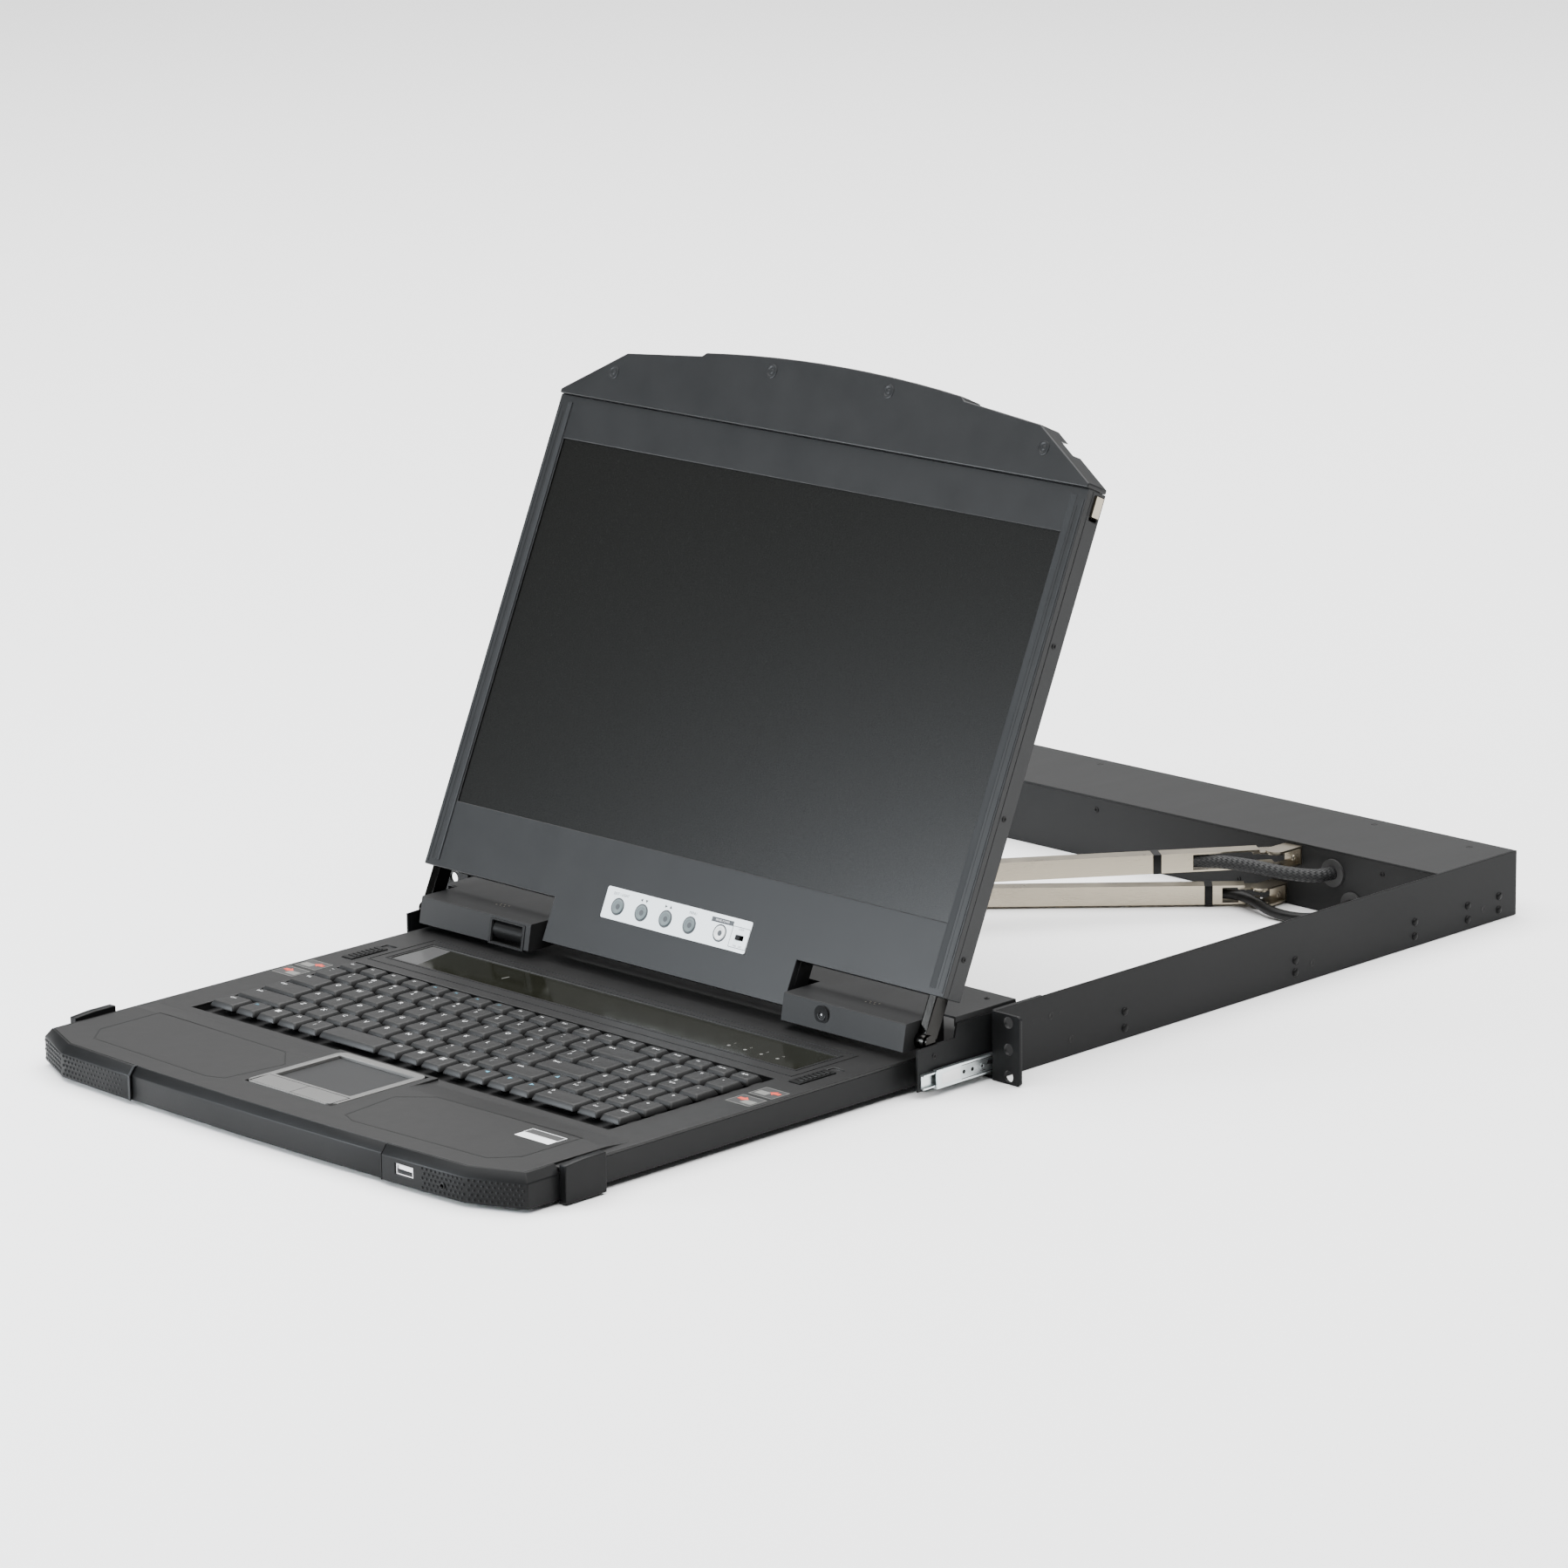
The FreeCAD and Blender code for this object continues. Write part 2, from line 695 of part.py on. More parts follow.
def friction_hinge():
    """A hinge body inside the front block, with the pin that carries the lid's arm."""
    face = pod_outer_x - sheet - 0.2
    body = block(face - hinge_body_length, face, hinge_y + hinge_body_y[0], hinge_y + hinge_body_y[1],
                 pod_bottom_z + 0.4, cover_top_z - sheet)
    barrel = rod(hinge_barrel_radius, (face - hinge_barrel_length, hinge_y, hinge_z),
                 (face, hinge_y, hinge_z))
    head_start = hinge_arm_x[1] + hinge_running_gap
    head_wider, head_length = hinge_pin_head
    pin = rod(hinge_pin_radius, (face - hinge_pin_grip, hinge_y, hinge_z),
              (head_start + head_length / 2, hinge_y, hinge_z))
    head = rod(hinge_pin_radius + head_wider, (head_start, hinge_y, hinge_z),
               (head_start + head_length, hinge_y, hinge_z))
    return body.fuse([barrel, pin, head]).removeSplitter()


def pod_rocker():
    """A rocker paddle in the left front block, tilting about a line along X."""
    width, height = rocker_size
    x, z = rocker_centre
    gap = 0.5
    face = carriage_front_y + pod_face_lean * (z - pod_bottom_z) / (cover_top_z - pod_bottom_z)
    body = block(x - width / 2 + gap, x + width / 2 - gap, face, face + rocker_depth,
                 z - height / 2 + gap, z + height / 2 - gap)
    drum = rod(height / 2 - gap, (x - width / 2, rocker_pivot_y(), z), (x + width / 2, rocker_pivot_y(), z))
    return body.common(drum)


def rocker_pivot_y():
    """Depth of the rocker's axis behind the face."""
    return carriage_front_y + pod_face_lean / 2 + rocker_depth - 1.0


# ---- lid ----
def lid_place(shape):
    """Tilt a lid piece back from upright and put it on the hinge axis."""
    placed = shape.copy()
    placed.rotate(V(0, 0, 0), V(1, 0, 0), -lid_tilt)
    placed.translate(V(0, hinge_y, hinge_z))
    return placed


def lid_outline(inset, depth_from):
    """The lid's face, with a notch at each lower corner for the front blocks."""
    half = lid_width / 2 - inset
    foot = notch_x - inset
    return [
        (-half, depth_from, notch_v + inset),
        (-foot, depth_from, notch_v + inset),
        (-foot, depth_from, lid_bottom_v + inset),
        (foot, depth_from, lid_bottom_v + inset),
        (foot, depth_from, notch_v + inset),
        (half, depth_from, notch_v + inset),
        (half, depth_from, seam_v - inset),
        (-half, depth_from, seam_v - inset),
    ]


def lid_button_hole(u, radius, depth):
    """A round hole through the front of the lid."""
    return rod(radius, (u, lid_front_n - 2, button_v), (u, lid_front_n + depth, button_v))


def hinge_arm_slot():
    """The room that a hinge arm takes inside the lid."""
    gap = 0.3
    return block(hinge_arm_x[0] - gap, hinge_arm_x[1] + gap, hinge_arm_n[0] - gap, hinge_arm_n[1] + gap,
                 notch_v - 1, hinge_arm_length + gap)


def latch_pocket(clearance, travel):
    """The room of a side latch in the lid's right edge; it slides down the edge by its travel."""
    width, length, height = latch_size
    outer = lid_width / 2 + latch_proud
    centre_n = lid_front_n + latch_setback
    return block(outer - width - clearance, outer + clearance, centre_n - height / 2 - clearance,
                 centre_n + height / 2 + clearance, latch_v - length / 2 - clearance - travel,
                 latch_v + length / 2 + clearance)


def build_lid():
    front = lid_front_n
    middle = front + bezel_depth
    back = front + lid_depth

    bezel = prism(lid_outline(0, front), (0, bezel_depth, 0))
    opening = block(-screen_width / 2, screen_width / 2, front - 1, middle + 1,
                    screen_bottom_v, screen_bottom_v + screen_height)
    bezel = bezel.cut(opening)
    glass_seat = block(-screen_width / 2 - glass_margin, screen_width / 2 + glass_margin,
                       front + screen_recess, middle + 1,
                       screen_bottom_v - glass_margin, screen_bottom_v + screen_height + glass_margin)
    bezel = bezel.cut(glass_seat)
    plate_seat = block(-plate_size[0] / 2, plate_size[0] / 2, front - 1, front + plate_thickness,
                       plate_bottom_v, plate_bottom_v + plate_size[1])
    bezel = bezel.cut(plate_seat)
    bezel = bezel.cut(group(control_holes(bezel_depth + 3)))
    bezel = bezel.cut(pair(hinge_arm_slot()))
    write("lcd_bezel", lid_place(bezel))

    shell = prism(lid_outline(0, middle), (0, back - middle, 0))
    hollow = prism(lid_outline(lid_wall, middle - 1), (0, back - middle + 1 - lid_wall, 0))
    shell = shell.cut(hollow)
    shell = shell.cut(pair(hinge_arm_slot())).cut(pair(latch_pocket(latch_clearance, latch_travel)))
    write("lcd_back_shell", lid_place(shell))

    glass = block(-screen_width / 2 - glass_margin, screen_width / 2 + glass_margin,
                  front + screen_recess, front + screen_recess + glass_thickness,
                  screen_bottom_v - glass_margin, screen_bottom_v + screen_height + glass_margin)
    write("lcd_panel", lid_place(glass))

    plate = block(-plate_size[0] / 2, plate_size[0] / 2, front, front + plate_thickness,
                  plate_bottom_v, plate_bottom_v + plate_size[1])
    plate = eased(plate, 1.5, runs_along((0, 1, 0)))
    write("osd_plate", lid_place(plate.cut(group(control_holes(bezel_depth + 3)))))

    write("lcd_handle", lid_place(lid_handle()))
    write("hinge_arms", lid_place(pair(hinge_arm())))

    for name, u in zip(osd_button_names, osd_button_u):
        write(f"osd_button_{name}", lid_place(push_button(u)))
    write("panel_power_button", lid_place(push_button(power_button_u)))

    width, height = lock_switch_size
    knob = block(lock_switch_u - lock_switch_travel / 2 - width / 2,
                 lock_switch_u - lock_switch_travel / 2 + width / 2,
                 front - button_proud, middle - 0.5, button_v - height / 2, button_v + height / 2)
    write("panel_lock_switch", lid_place(knob))

    write("lcd_latches", lid_place(pair(latch_pocket(0, 0))))


def control_holes(depth):
    """Holes for the round buttons and the slot of the small switch."""
    holes = [lid_button_hole(u, button_radius + button_clearance, depth)
             for u in osd_button_u + (power_button_u,)]
    slot_height = lock_switch_size[1] / 2 + button_clearance
    holes.append(block(lock_switch_u - lock_switch_slot / 2, lock_switch_u + lock_switch_slot / 2,
                       lid_front_n - 2, lid_front_n + depth, button_v - slot_height, button_v + slot_height))
    return holes


def push_button(u):
    """A round push button with a domed rim."""
    front = lid_front_n - button_proud
    body = rod(button_radius, (u, front, button_v), (u, front + button_length, button_v))
    return body.makeFillet(0.4, [body.Edges[0]]) if button_radius > 1 else body


def lid_handle():
    """The lid's grip: chamfered ends, sloping shoulders and a raised crown."""
    front = lid_front_n - handle_proud
    back = lid_front_n + lid_depth
    half = lid_width / 2
    foot = seam_v + handle_gap
    right = [
        (half, front, foot),
        (half, front, handle_chamfer_v),
        (handle_shoulder[0], front, handle_shoulder[1]),
        (handle_step_outer[0], front, handle_step_outer[1]),
        (handle_step_inner[0], front, handle_step_inner[1]),
    ]
    left = [(-u, n, v) for u, n, v in reversed(right)]
    crown = Part.Arc(V(*right[-1]), V(0, front, handle_crown_v), V(*left[0])).toShape()
    edges = [Part.makeLine(V(*a), V(*b)) for a, b in zip(right, right[1:])]
    edges.append(crown)
    edges += [Part.makeLine(V(*a), V(*b)) for a, b in zip(left, left[1:])]
    edges.append(Part.makeLine(V(*left[-1]), V(*right[0])))
    grip = Part.Face(Part.Wire(edges)).extrude(V(0, back - front, 0))
    low, high = handle_scoop_margin
    scoop = block(handle_scoop_inset - half, half - handle_scoop_inset, back - handle_scoop_depth,
                  back + 1, seam_v + low, handle_shoulder[1] - high)
    return grip.cut(scoop)


def hinge_arm():
    """A lid arm: an eye on the hinge axis and a strap that runs up inside the lid."""
    width = hinge_arm_x[1] - hinge_arm_x[0]
    eye = rod(hinge_arm_radius, (hinge_arm_x[0], 0, 0), (hinge_arm_x[1], 0, 0))
    strap = block(hinge_arm_x[0], hinge_arm_x[0] + width, hinge_arm_n[0], hinge_arm_n[1],
                  0, hinge_arm_length)
    bore = rod(hinge_pin_radius + 0.1, (hinge_arm_x[0] - 1, 0, 0), (hinge_arm_x[1] + 1, 0, 0))
    return eye.fuse(strap).cut(bore).removeSplitter()


# ---- keyboard drawer ----
def front_outline(inset, z):
    """The drawer's front outline at one height, moved inwards by inset, as a closed wire."""
    half = drawer_half - inset
    flank_x = handle_flank[0] - 0.3 * inset
    flank_y = handle_flank[1] + inset
    end_y = handle_end_y + 0.6 * inset
    back = handle_back_y
    crown = Part.Arc(V(flank_x, flank_y, z), V(0, handle_front_y + inset, z), V(-flank_x, flank_y, z))
    corners = [(-flank_x, flank_y), (-half, end_y), (-half, back), (half, back), (half, end_y),
               (flank_x, flank_y)]
    lines = [Part.makeLine(V(*a, z), V(*b, z)) for a, b in zip(corners, corners[1:])]
    return Part.Wire([crown.toShape()] + lines)


def front_slab(inset, z0, z1):
    """The front outline pulled up from one height to another."""
    return Part.Face(front_outline(inset, z0)).extrude(V(0, 0, z1 - z0))


def handle_body(recess):
    """The hollow front grip with its bevelled top edge, set back by recess."""
    bevel_z = palm_rise - bevel_rise
    lower = front_slab(recess, handle_bottom_z, bevel_z)
    rings = [front_outline(recess, bevel_z), front_outline(recess + bevel_depth, palm_rise)]
    bevel = Part.makeLoft(rings, True, True)
    grip = lower.fuse(bevel)
    grip = grip.cut(front_slab(bevel_depth + bar_recess, -top_thickness, palm_rise + 1))
    room = block(-drawer_half + grip_wall, drawer_half - grip_wall, handle_end_y, handle_back_y + 1,
                 handle_bottom_z + grip_floor, -top_thickness - 0.001)
    return grip.cut(room).removeSplitter()


def build_handle():
    half_bar = cap_start_x
    slice_bar = block(-half_bar, half_bar, handle_front_y - 5, handle_back_y, handle_bottom_z - 1, 10)
    write("handle_bar", handle_body(bar_recess).common(slice_bar))

    x, z = usb_centre
    width, height = usb_size
    c = usb_clearance
    right_slice = block(half_bar, drawer_half + 1, handle_front_y - 5, handle_back_y, handle_bottom_z - 1, 10)
    right = handle_body(0).common(right_slice)
    usb_front = handle_flank[1] - usb_setback
    right_cap = right.cut(block(x - width / 2 - c, x + width / 2 + c, handle_front_y - 5, handle_end_y + 1,
                                z - height / 2 - c, z + height / 2 + c))
    right_cap = right_cap.cut(rod(reset_hole_radius, (reset_hole_x, handle_front_y - 5, reset_hole_z),
                                  (reset_hole_x, handle_end_y + 1, reset_hole_z)))
    write("handle_caps", group([right_cap, mirrored(right)]))

    shell = block(x - width / 2, x + width / 2, usb_front, usb_front + usb_depth,
                  z - height / 2, z + height / 2)
    wall = usb_wall
    pocket = block(x - width / 2 + wall, x + width / 2 - wall, usb_front - 1,
                   usb_front + usb_depth - usb_back_wall, z - height / 2 + wall, z + height / 2 - wall)
    write("usb_socket", shell.cut(pocket))


def side_hook():
    """A guide hook on the drawer's right side: its top rises towards the back."""
    y0, y1 = hook_y
    low, high = hook_z
    run, rise = hook_ramp
    profile = [(drawer_half, y0, low), (drawer_half, y0, high - rise), (drawer_half, y0 + run, high),
               (drawer_half, y1, high), (drawer_half, y1, low)]
    return prism(profile, (hook_x - drawer_half, 0, 0))


def build_drawer():
    inner = drawer_half - sheet
    floor = block(-drawer_half, drawer_half, handle_back_y, drawer_rear_y,
                  drawer_bottom_z, drawer_bottom_z + sheet)
    wall = block(inner, drawer_half, handle_back_y, drawer_rear_y, drawer_bottom_z, -top_thickness)
    rear_wall = block(-drawer_half, drawer_half, drawer_rear_y - sheet, drawer_rear_y,
                      drawer_bottom_z, -top_thickness)
    lug_z = lower_arm_z + arm_height + slide_gap
    lug = block(lower_far_x - lug_half, lower_far_x + lug_half, drawer_rear_y - sheet,
                lower_pivot_y + arm_eye_radius, lug_z, lug_z + arm_sheet)
    pan = floor.fuse([wall, mirrored(wall), rear_wall, lug]).removeSplitter()
    write("drawer_pan", pan)
    write("side_hooks", pair(side_hook()))
    write("drawer_top", drawer_top())
    build_touchpad()

    x = window_x
    window = block(-x, x, window_y[0], window_y[1], -window_seat, -window_recess)
    write("status_window", window)

    x0, x1 = catch_x
    y0, y1 = catch_y
    catch = block(x0, x1, y0, y1, -catch_seat, catch_height - catch_seat)
    catch = eased(catch, 0.5, runs_along((0, 0, 1)))
    write("release_catch_right", catch)
    write("release_catch_left", mirrored(catch))


def drawer_top():
    """The drawer's top cover: a flat deck, a raised palm rest and seats for what lies in it."""
    deck = block(-drawer_half, drawer_half, handle_back_y, drawer_rear_y, -top_thickness, 0)
    palm_front = front_slab(bevel_depth + bar_recess, -top_thickness, palm_rise)
    half = drawer_half - bevel_depth - bar_recess
    palm_back = block(-half, half, handle_back_y, palm_rear_y, 0, palm_rise)
    ramp = prism([(-half, palm_rear_y, 0), (-half, palm_rear_y, palm_rise), (-half, palm_foot_y, 0)],
                 (2 * half, 0, 0))
    plateau = block(pad_bezel_x[0] - pad_plateau_margin, pad_bezel_x[1] + pad_plateau_margin,
                    palm_rear_y, key_field_y[0] - 1.5, 0, palm_rise)
    top = deck.fuse([palm_front, palm_back, ramp, plateau]).removeSplitter()
    x0, x1 = key_field_x
    y0, y1 = key_field_y
    top = top.cut(block(x0, x1, y0, y1, -top_thickness - 1, 5))
    top = top.cut(block(-window_x, window_x, window_y[0], window_y[1], -window_seat, 1))
    pocket = block(pad_bezel_x[0], pad_bezel_x[1], pad_bezel_y[0], pad_bezel_y[1], bezel_pocket_floor, 5)
    top = top.cut(pocket)
    slot = block(catch_x[0] - catch_slot_gap, catch_x[1] + catch_slot_gap, catch_y[0] - catch_slot_gap,
                 catch_y[1] + catch_travel + catch_slot_gap, -catch_seat, 5)
    return top.cut(pair(slot))


def build_touchpad():
    x0, x1 = pad_bezel_x
    y0, y1 = pad_bezel_y
    high = palm_rise + bezel_proud
    frame = block(x0, x1, y0, y1, bezel_pocket_floor, high)
    frame = eased(frame, pad_bezel_round, runs_along((0, 0, 1)))
    frame = frame.cut(block(pad_x[0], pad_x[1], pad_y[0], pad_y[1], bezel_pocket_floor - 1, high + 1))
    b0, b1 = touch_button_y
    side = touch_button_side
    gap = touch_button_gap
    frame = frame.cut(block(x0 + side, x1 - side, b0 - gap, b1 + gap, bezel_pocket_floor - 1, high + 1))
    write("touchpad_bezel", frame)

    write("touchpad", block(pad_x[0] + 0.2, pad_x[1] - 0.2, pad_y[0] + 0.2, pad_y[1] - 0.2,
                            bezel_pocket_floor, palm_rise - pad_recess + 0.2))

    middle = (x0 + x1) / 2
    for name, start, end in (("left", x0 + side + gap, middle - gap / 2),
                             ("right", middle + gap / 2, x1 - side - gap)):
        button = block(start, end, b0, b1, bezel_pocket_floor + touch_button_travel + 0.2, high)
        write(f"touch_button_{name}", button)


# ---- keys ----
def key_row_y(row):
    """Front edge of a row of keys; the row behind the last one is the function row."""
    return key_field_y[0] + key_front_margin + row * key_row_pitch


def key_cap(x0, x1, y0, y1):
    """One low key with sloping sides and a guide stem."""
    gap = key_gap / 2
    x0, x1, y0, y1 = x0 + gap, x1 - gap, y0 + gap, y1 - gap
    skirt = Part.makePolygon([V(x0, y0, key_base_z), V(x1, y0, key_base_z), V(x1, y1, key_base_z),
                              V(x0, y1, key_base_z), V(x0, y0, key_base_z)])
    t = key_taper
    crown = Part.makePolygon([V(x0 + t, y0 + t, key_top_z), V(x1 - t, y0 + t, key_top_z),
                              V(x1 - t, y1 - t, key_top_z), V(x0 + t, y1 - t, key_top_z),
                              V(x0 + t, y0 + t, key_top_z)])
    cap = Part.makeLoft([skirt, crown], True, True)
    centre = ((x0 + x1) / 2, (y0 + y1) / 2)
    stem = rod(key_stem_radius, (*centre, -key_recess - key_plate_thickness), (*centre, key_base_z))
    return cap.fuse(stem)


def key_cells():
    """Every key as (group name, x0, x1, y0, y1)."""
    cells = []
    left = key_field_x[0] + key_margin_x
    pad_left = left + main_units * key_unit
    for row in range(len(main_rows)):
        y0 = key_row_y(row)
        for start, widths in ((left, main_rows[row]), (pad_left, pad_rows[row])):
            x = start
            for index, width in enumerate(widths):
                name = "main_keys" if start == left else "number_pad_keys"
                if row == 0 and start == left and index == space_bar_index:
                    name = "space_bar"
                cells.append((name, x, x + width * key_unit, y0, y0 + key_row_pitch))
                x += width * key_unit
    y0 = key_row_y(len(main_rows))
    for column in range(main_units + pad_units):
        x = left + column * key_unit
        name = "main_keys" if column < main_units else "number_pad_keys"
        cells.append((name, x, x + key_unit, y0, y0 + function_row_depth))
    return cells


def build_keys():
    caps = {"main_keys": [], "number_pad_keys": [], "space_bar": []}
    stems = []
    for name, x0, x1, y0, y1 in key_cells():
        caps[name].append(key_cap(x0, x1, y0, y1))
        centre = ((x0 + x1) / 2, (y0 + y1) / 2)
        stems.append(rod(key_stem_radius + key_stem_clearance, (*centre, -key_recess - 3), (*centre, 0)))
    for name, members in caps.items():
        write(name, group(members) if len(members) > 1 else members[0])

    x0, x1 = key_field_x
    y0, y1 = key_field_y
    rim = key_base_rim
    floor = -key_recess - key_plate_thickness
    base = block(x0 - rim, x1 + rim, y0 - rim, y1 + rim, floor, -top_thickness)
    base = base.cut(block(x0, x1, y0, y1, -key_recess, 0))
    write("keyboard_base", base.cut(group(stems)))


# ---- cable arms ----
def arm_pose(root_x, pivot_y):
    """Headings of an arm's two links, and its elbow, from where its far pivot is."""
    reach = math.hypot(arm_side_step, arm_root_y - pivot_y)
    root_angle = math.acos((arm_rear_length ** 2 + reach ** 2 - arm_front_length ** 2)
                           / (2 * arm_rear_length * reach))
    swing = math.atan2(arm_side_step, arm_root_y - pivot_y) + root_angle
    rear_heading = -math.pi / 2 - swing
    elbow = (root_x + arm_rear_length * math.cos(rear_heading),
             arm_root_y + arm_rear_length * math.sin(rear_heading))
    front_heading = math.atan2(pivot_y - elbow[1], root_x - arm_side_step - elbow[0])
    return rear_heading, elbow, front_heading


def link_place(shape, x, y, z, heading):
    """Put a link modelled along +X at its rear pivot, turned to its heading in the XY plane."""
    placed = shape.copy()
    placed.rotate(V(0, 0, 0), V(0, 0, 1), math.degrees(heading))
    placed.translate(V(x, y, z))
    return placed


def arm_tab(channel_end, pivot_x, side, z):
    """A flat tab from the end of the channel to the eye at the pivot, as wide as side."""
    eye = rod(arm_eye_radius, (pivot_x, 0, z), (pivot_x, 0, z + arm_sheet))
    strap = block(min(channel_end, pivot_x), max(channel_end, pivot_x), -side, 0, z, z + arm_sheet)
    return eye.fuse(strap)


def arm_link(length, web_start, far_margin, far_side, tab_depth, pinned):
    """A link: a channel beside the pivots' line, and tabs that carry an eye at each end."""
    near = -arm_offset
    far = -arm_offset - arm_channel_width
    start = arm_end_margin
    end = length - far_margin
    top = arm_height - arm_sheet
    pieces = [
        block(start, end, far, near, 0, arm_sheet),
        block(start, end, far, near, top, arm_height),
        block(max(web_start, start), end, near - arm_sheet, near, 0, arm_height),
    ]
    for pivot_x, channel_end, side, inward in ((0.0, start, -far, 1), (length, end, far_side, -1)):
        for z in (tab_depth, top - tab_depth):
            pieces.append(arm_tab(channel_end, pivot_x, side, z))
        if tab_depth > 0:
            deep = tab_depth + arm_sheet
            riser = channel_end + inward * riser_length
            lower, upper = min(channel_end, riser), max(channel_end, riser)
            pieces.append(block(lower, upper, far, near, 0, deep))
            pieces.append(block(lower, upper, far, near, arm_height - deep, arm_height))
    link = pieces[0].fuse(pieces[1:])
    for pivot_x in (0.0, length):
        if pinned:
            link = link.fuse(rivets(pivot_x, 0, 0))
        else:
            bore = rod(arm_pin_radius + arm_tab_gap, (pivot_x, 0, -1), (pivot_x, 0, arm_height + 1))
            link = link.cut(bore)
    return link.removeSplitter()


def rivets(x, y, z0):
    """An upper and a lower rivet at one pivot, with room for the cable between them."""
    depth = 2 * arm_sheet + arm_tab_gap
    return [rod(arm_pin_radius, (x, y, z), (x, y, z + depth)) for z in (z0, z0 + arm_height - depth)]


def arm_bracket(x, z0):
    """A forked bracket on the electronics box, with the rivets of an arm's rear link."""
    half = arm_eye_radius + bracket_margin
    top = z0 + arm_height - arm_sheet
    pieces = [block(x - half, x + half, box_front_y - arm_sheet, box_front_y, z0, z0 + arm_height)]
    for z in (z0, top):
        pieces.append(rod(half, (x, arm_root_y, z), (x, arm_root_y, z + arm_sheet)))
        pieces.append(block(x - half, x + half, arm_root_y, box_front_y, z, z + arm_sheet))
    pieces += rivets(x, arm_root_y, z0)
    return pieces[0].fuse(pieces[1:]).removeSplitter()


def along(x, y, heading, distance, offset):
    """A point beside a link: distance along its heading, offset towards the channel's side."""
    return (x + distance * math.cos(heading) + offset * math.sin(heading),
            y + distance * math.sin(heading) - offset * math.cos(heading))


def tube(name, points, radius):
    """A round cable along straight runs joined by tangent arcs, as large as the runs allow."""
    corners = [V(*point) for point in points]
    edges = []
    radii = []
    here = corners[0]
    for before, corner, after in zip(corners, corners[1:], corners[2:]):
        incoming = (corner - before).normalize()
        outgoing = (after - corner).normalize()
        half_turn = incoming.getAngle(outgoing) / 2
        reach = arc_share * min((corner - before).Length, (after - corner).Length)
        arc_start = corner - incoming * reach
        arc_end = corner + outgoing * reach
        bend = reach / math.tan(half_turn)
        radii.append(bend)
        towards_centre = (outgoing - incoming).normalize()
        middle = corner + towards_centre * (bend / math.cos(half_turn) - bend)
        edges.append(Part.LineSegment(here, arc_start).toShape())
        edges.append(Part.Arc(arc_start, middle, arc_end).toShape())
        here = arc_end
    edges.append(Part.LineSegment(here, corners[-1]).toShape())
    path = Part.Wire(edges)
    start_direction = corners[1] - corners[0]
    section = Part.Wire([Part.Circle(corners[0], start_direction, radius).toShape()])
    cable = path.makePipeShell([section], True, False)
    print(name, "length", round(path.Length, 1), "radii", [round(bend, 1) for bend in radii],
          "volume ratio", round(cable.Volume / (math.pi * radius ** 2 * path.Length), 4))
    write(name, cable)


def build_arm(name, x, z0, pivot_y, web_start, cable_name, radii, tail, last_y):
    """Two links of one arm, and its cable: a tail, a run in each link and the far end.

    The two radii are those of the cable behind the elbow, with its sleeve, and in front of it.
    """
    sleeve_radius, cable_radius = radii
    rear_heading, elbow, front_heading = arm_pose(x, pivot_y)
    full_side = arm_offset + arm_channel_width
    rear = arm_link(arm_rear_length, web_start, arm_end_margin, full_side, arm_sheet + arm_tab_gap, False)
    front = arm_link(arm_front_length, 0.0, arm_far_margin, arm_eye_radius, 0.0, True)
    write(f"{name}_arm_rear_link", link_place(rear, x, arm_root_y, z0, rear_heading))
    write(f"{name}_arm_front_link", link_place(front, *elbow, z0, front_heading))

    middle_z = z0 + arm_height / 2
    offset = arm_offset + arm_sheet + (arm_channel_width - arm_sheet) / 2

    def in_rear(distance):
        return (*along(x, arm_root_y, rear_heading, distance, offset), middle_z)

    def in_front(distance):
        return (*along(*elbow, front_heading, distance, offset), middle_z)

    tail_leaves = web_start - tail_lead
    tail_starts = tail_leaves + tail_first_run
    run_ends = arm_rear_length - elbow_run
    route = [(side_x - inset, box_front_y + tail_y, tail_z) for inset, tail_y, tail_z in tail]
    tube(f"{cable_name}_tail", [in_rear(tail_starts), in_rear(tail_leaves)] + route, sleeve_radius)
    write(f"{cable_name}_rear_run", rod(sleeve_radius, in_rear(tail_starts), in_rear(run_ends)))
    half_turn = (front_heading - rear_heading) / 2
    bisector = (front_heading + rear_heading) / 2
    corner = (elbow[0] + offset / math.cos(half_turn) * math.sin(bisector),
              elbow[1] - offset / math.cos(half_turn) * math.cos(bisector), middle_z)
    turn_off = in_front(arm_front_length - far_end_lead)
    far_end = (turn_off[0], last_y, middle_z)
    tube(f"{cable_name}_front_run", [in_rear(run_ends), corner, turn_off, far_end], cable_radius)


def build_arms():
    build_arm("upper", upper_arm_x, upper_arm_z, upper_pivot_y, upper_web_start,
              "video_cable", (video_sleeve_radius, video_cable_radius), video_tail,
              carriage_step_y + sheet)
    build_arm("lower", lower_arm_x, lower_arm_z, lower_pivot_y, lower_web_start,
              "keyboard_cable", (keyboard_cable_radius, keyboard_cable_radius), keyboard_tail,
              drawer_rear_y)


def main():
    os.makedirs("parts", exist_ok=True)
    build_housing()
    build_electronics()
    build_slides()
    build_carriage()
    build_lid()
    build_handle()
    build_drawer()
    build_keys()
    build_arms()
    print("slide travels", lcd_travel, drawer_travel)


main()
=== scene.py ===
"""Rackmount screen console with both of its drawers pulled out and the lid open.

Pieces are made in millimetres in the same frame as the solids (+X right, +Y into the rack, +Z up)
and are scaled to metres when they are finished. Lid pieces are made upright, as u, n, v: across,
back from the hinge axis and up the panel; then they are leaned back on the hinge.
"""
import json
import math

import bmesh
import bpy
from mathutils import Matrix, Vector


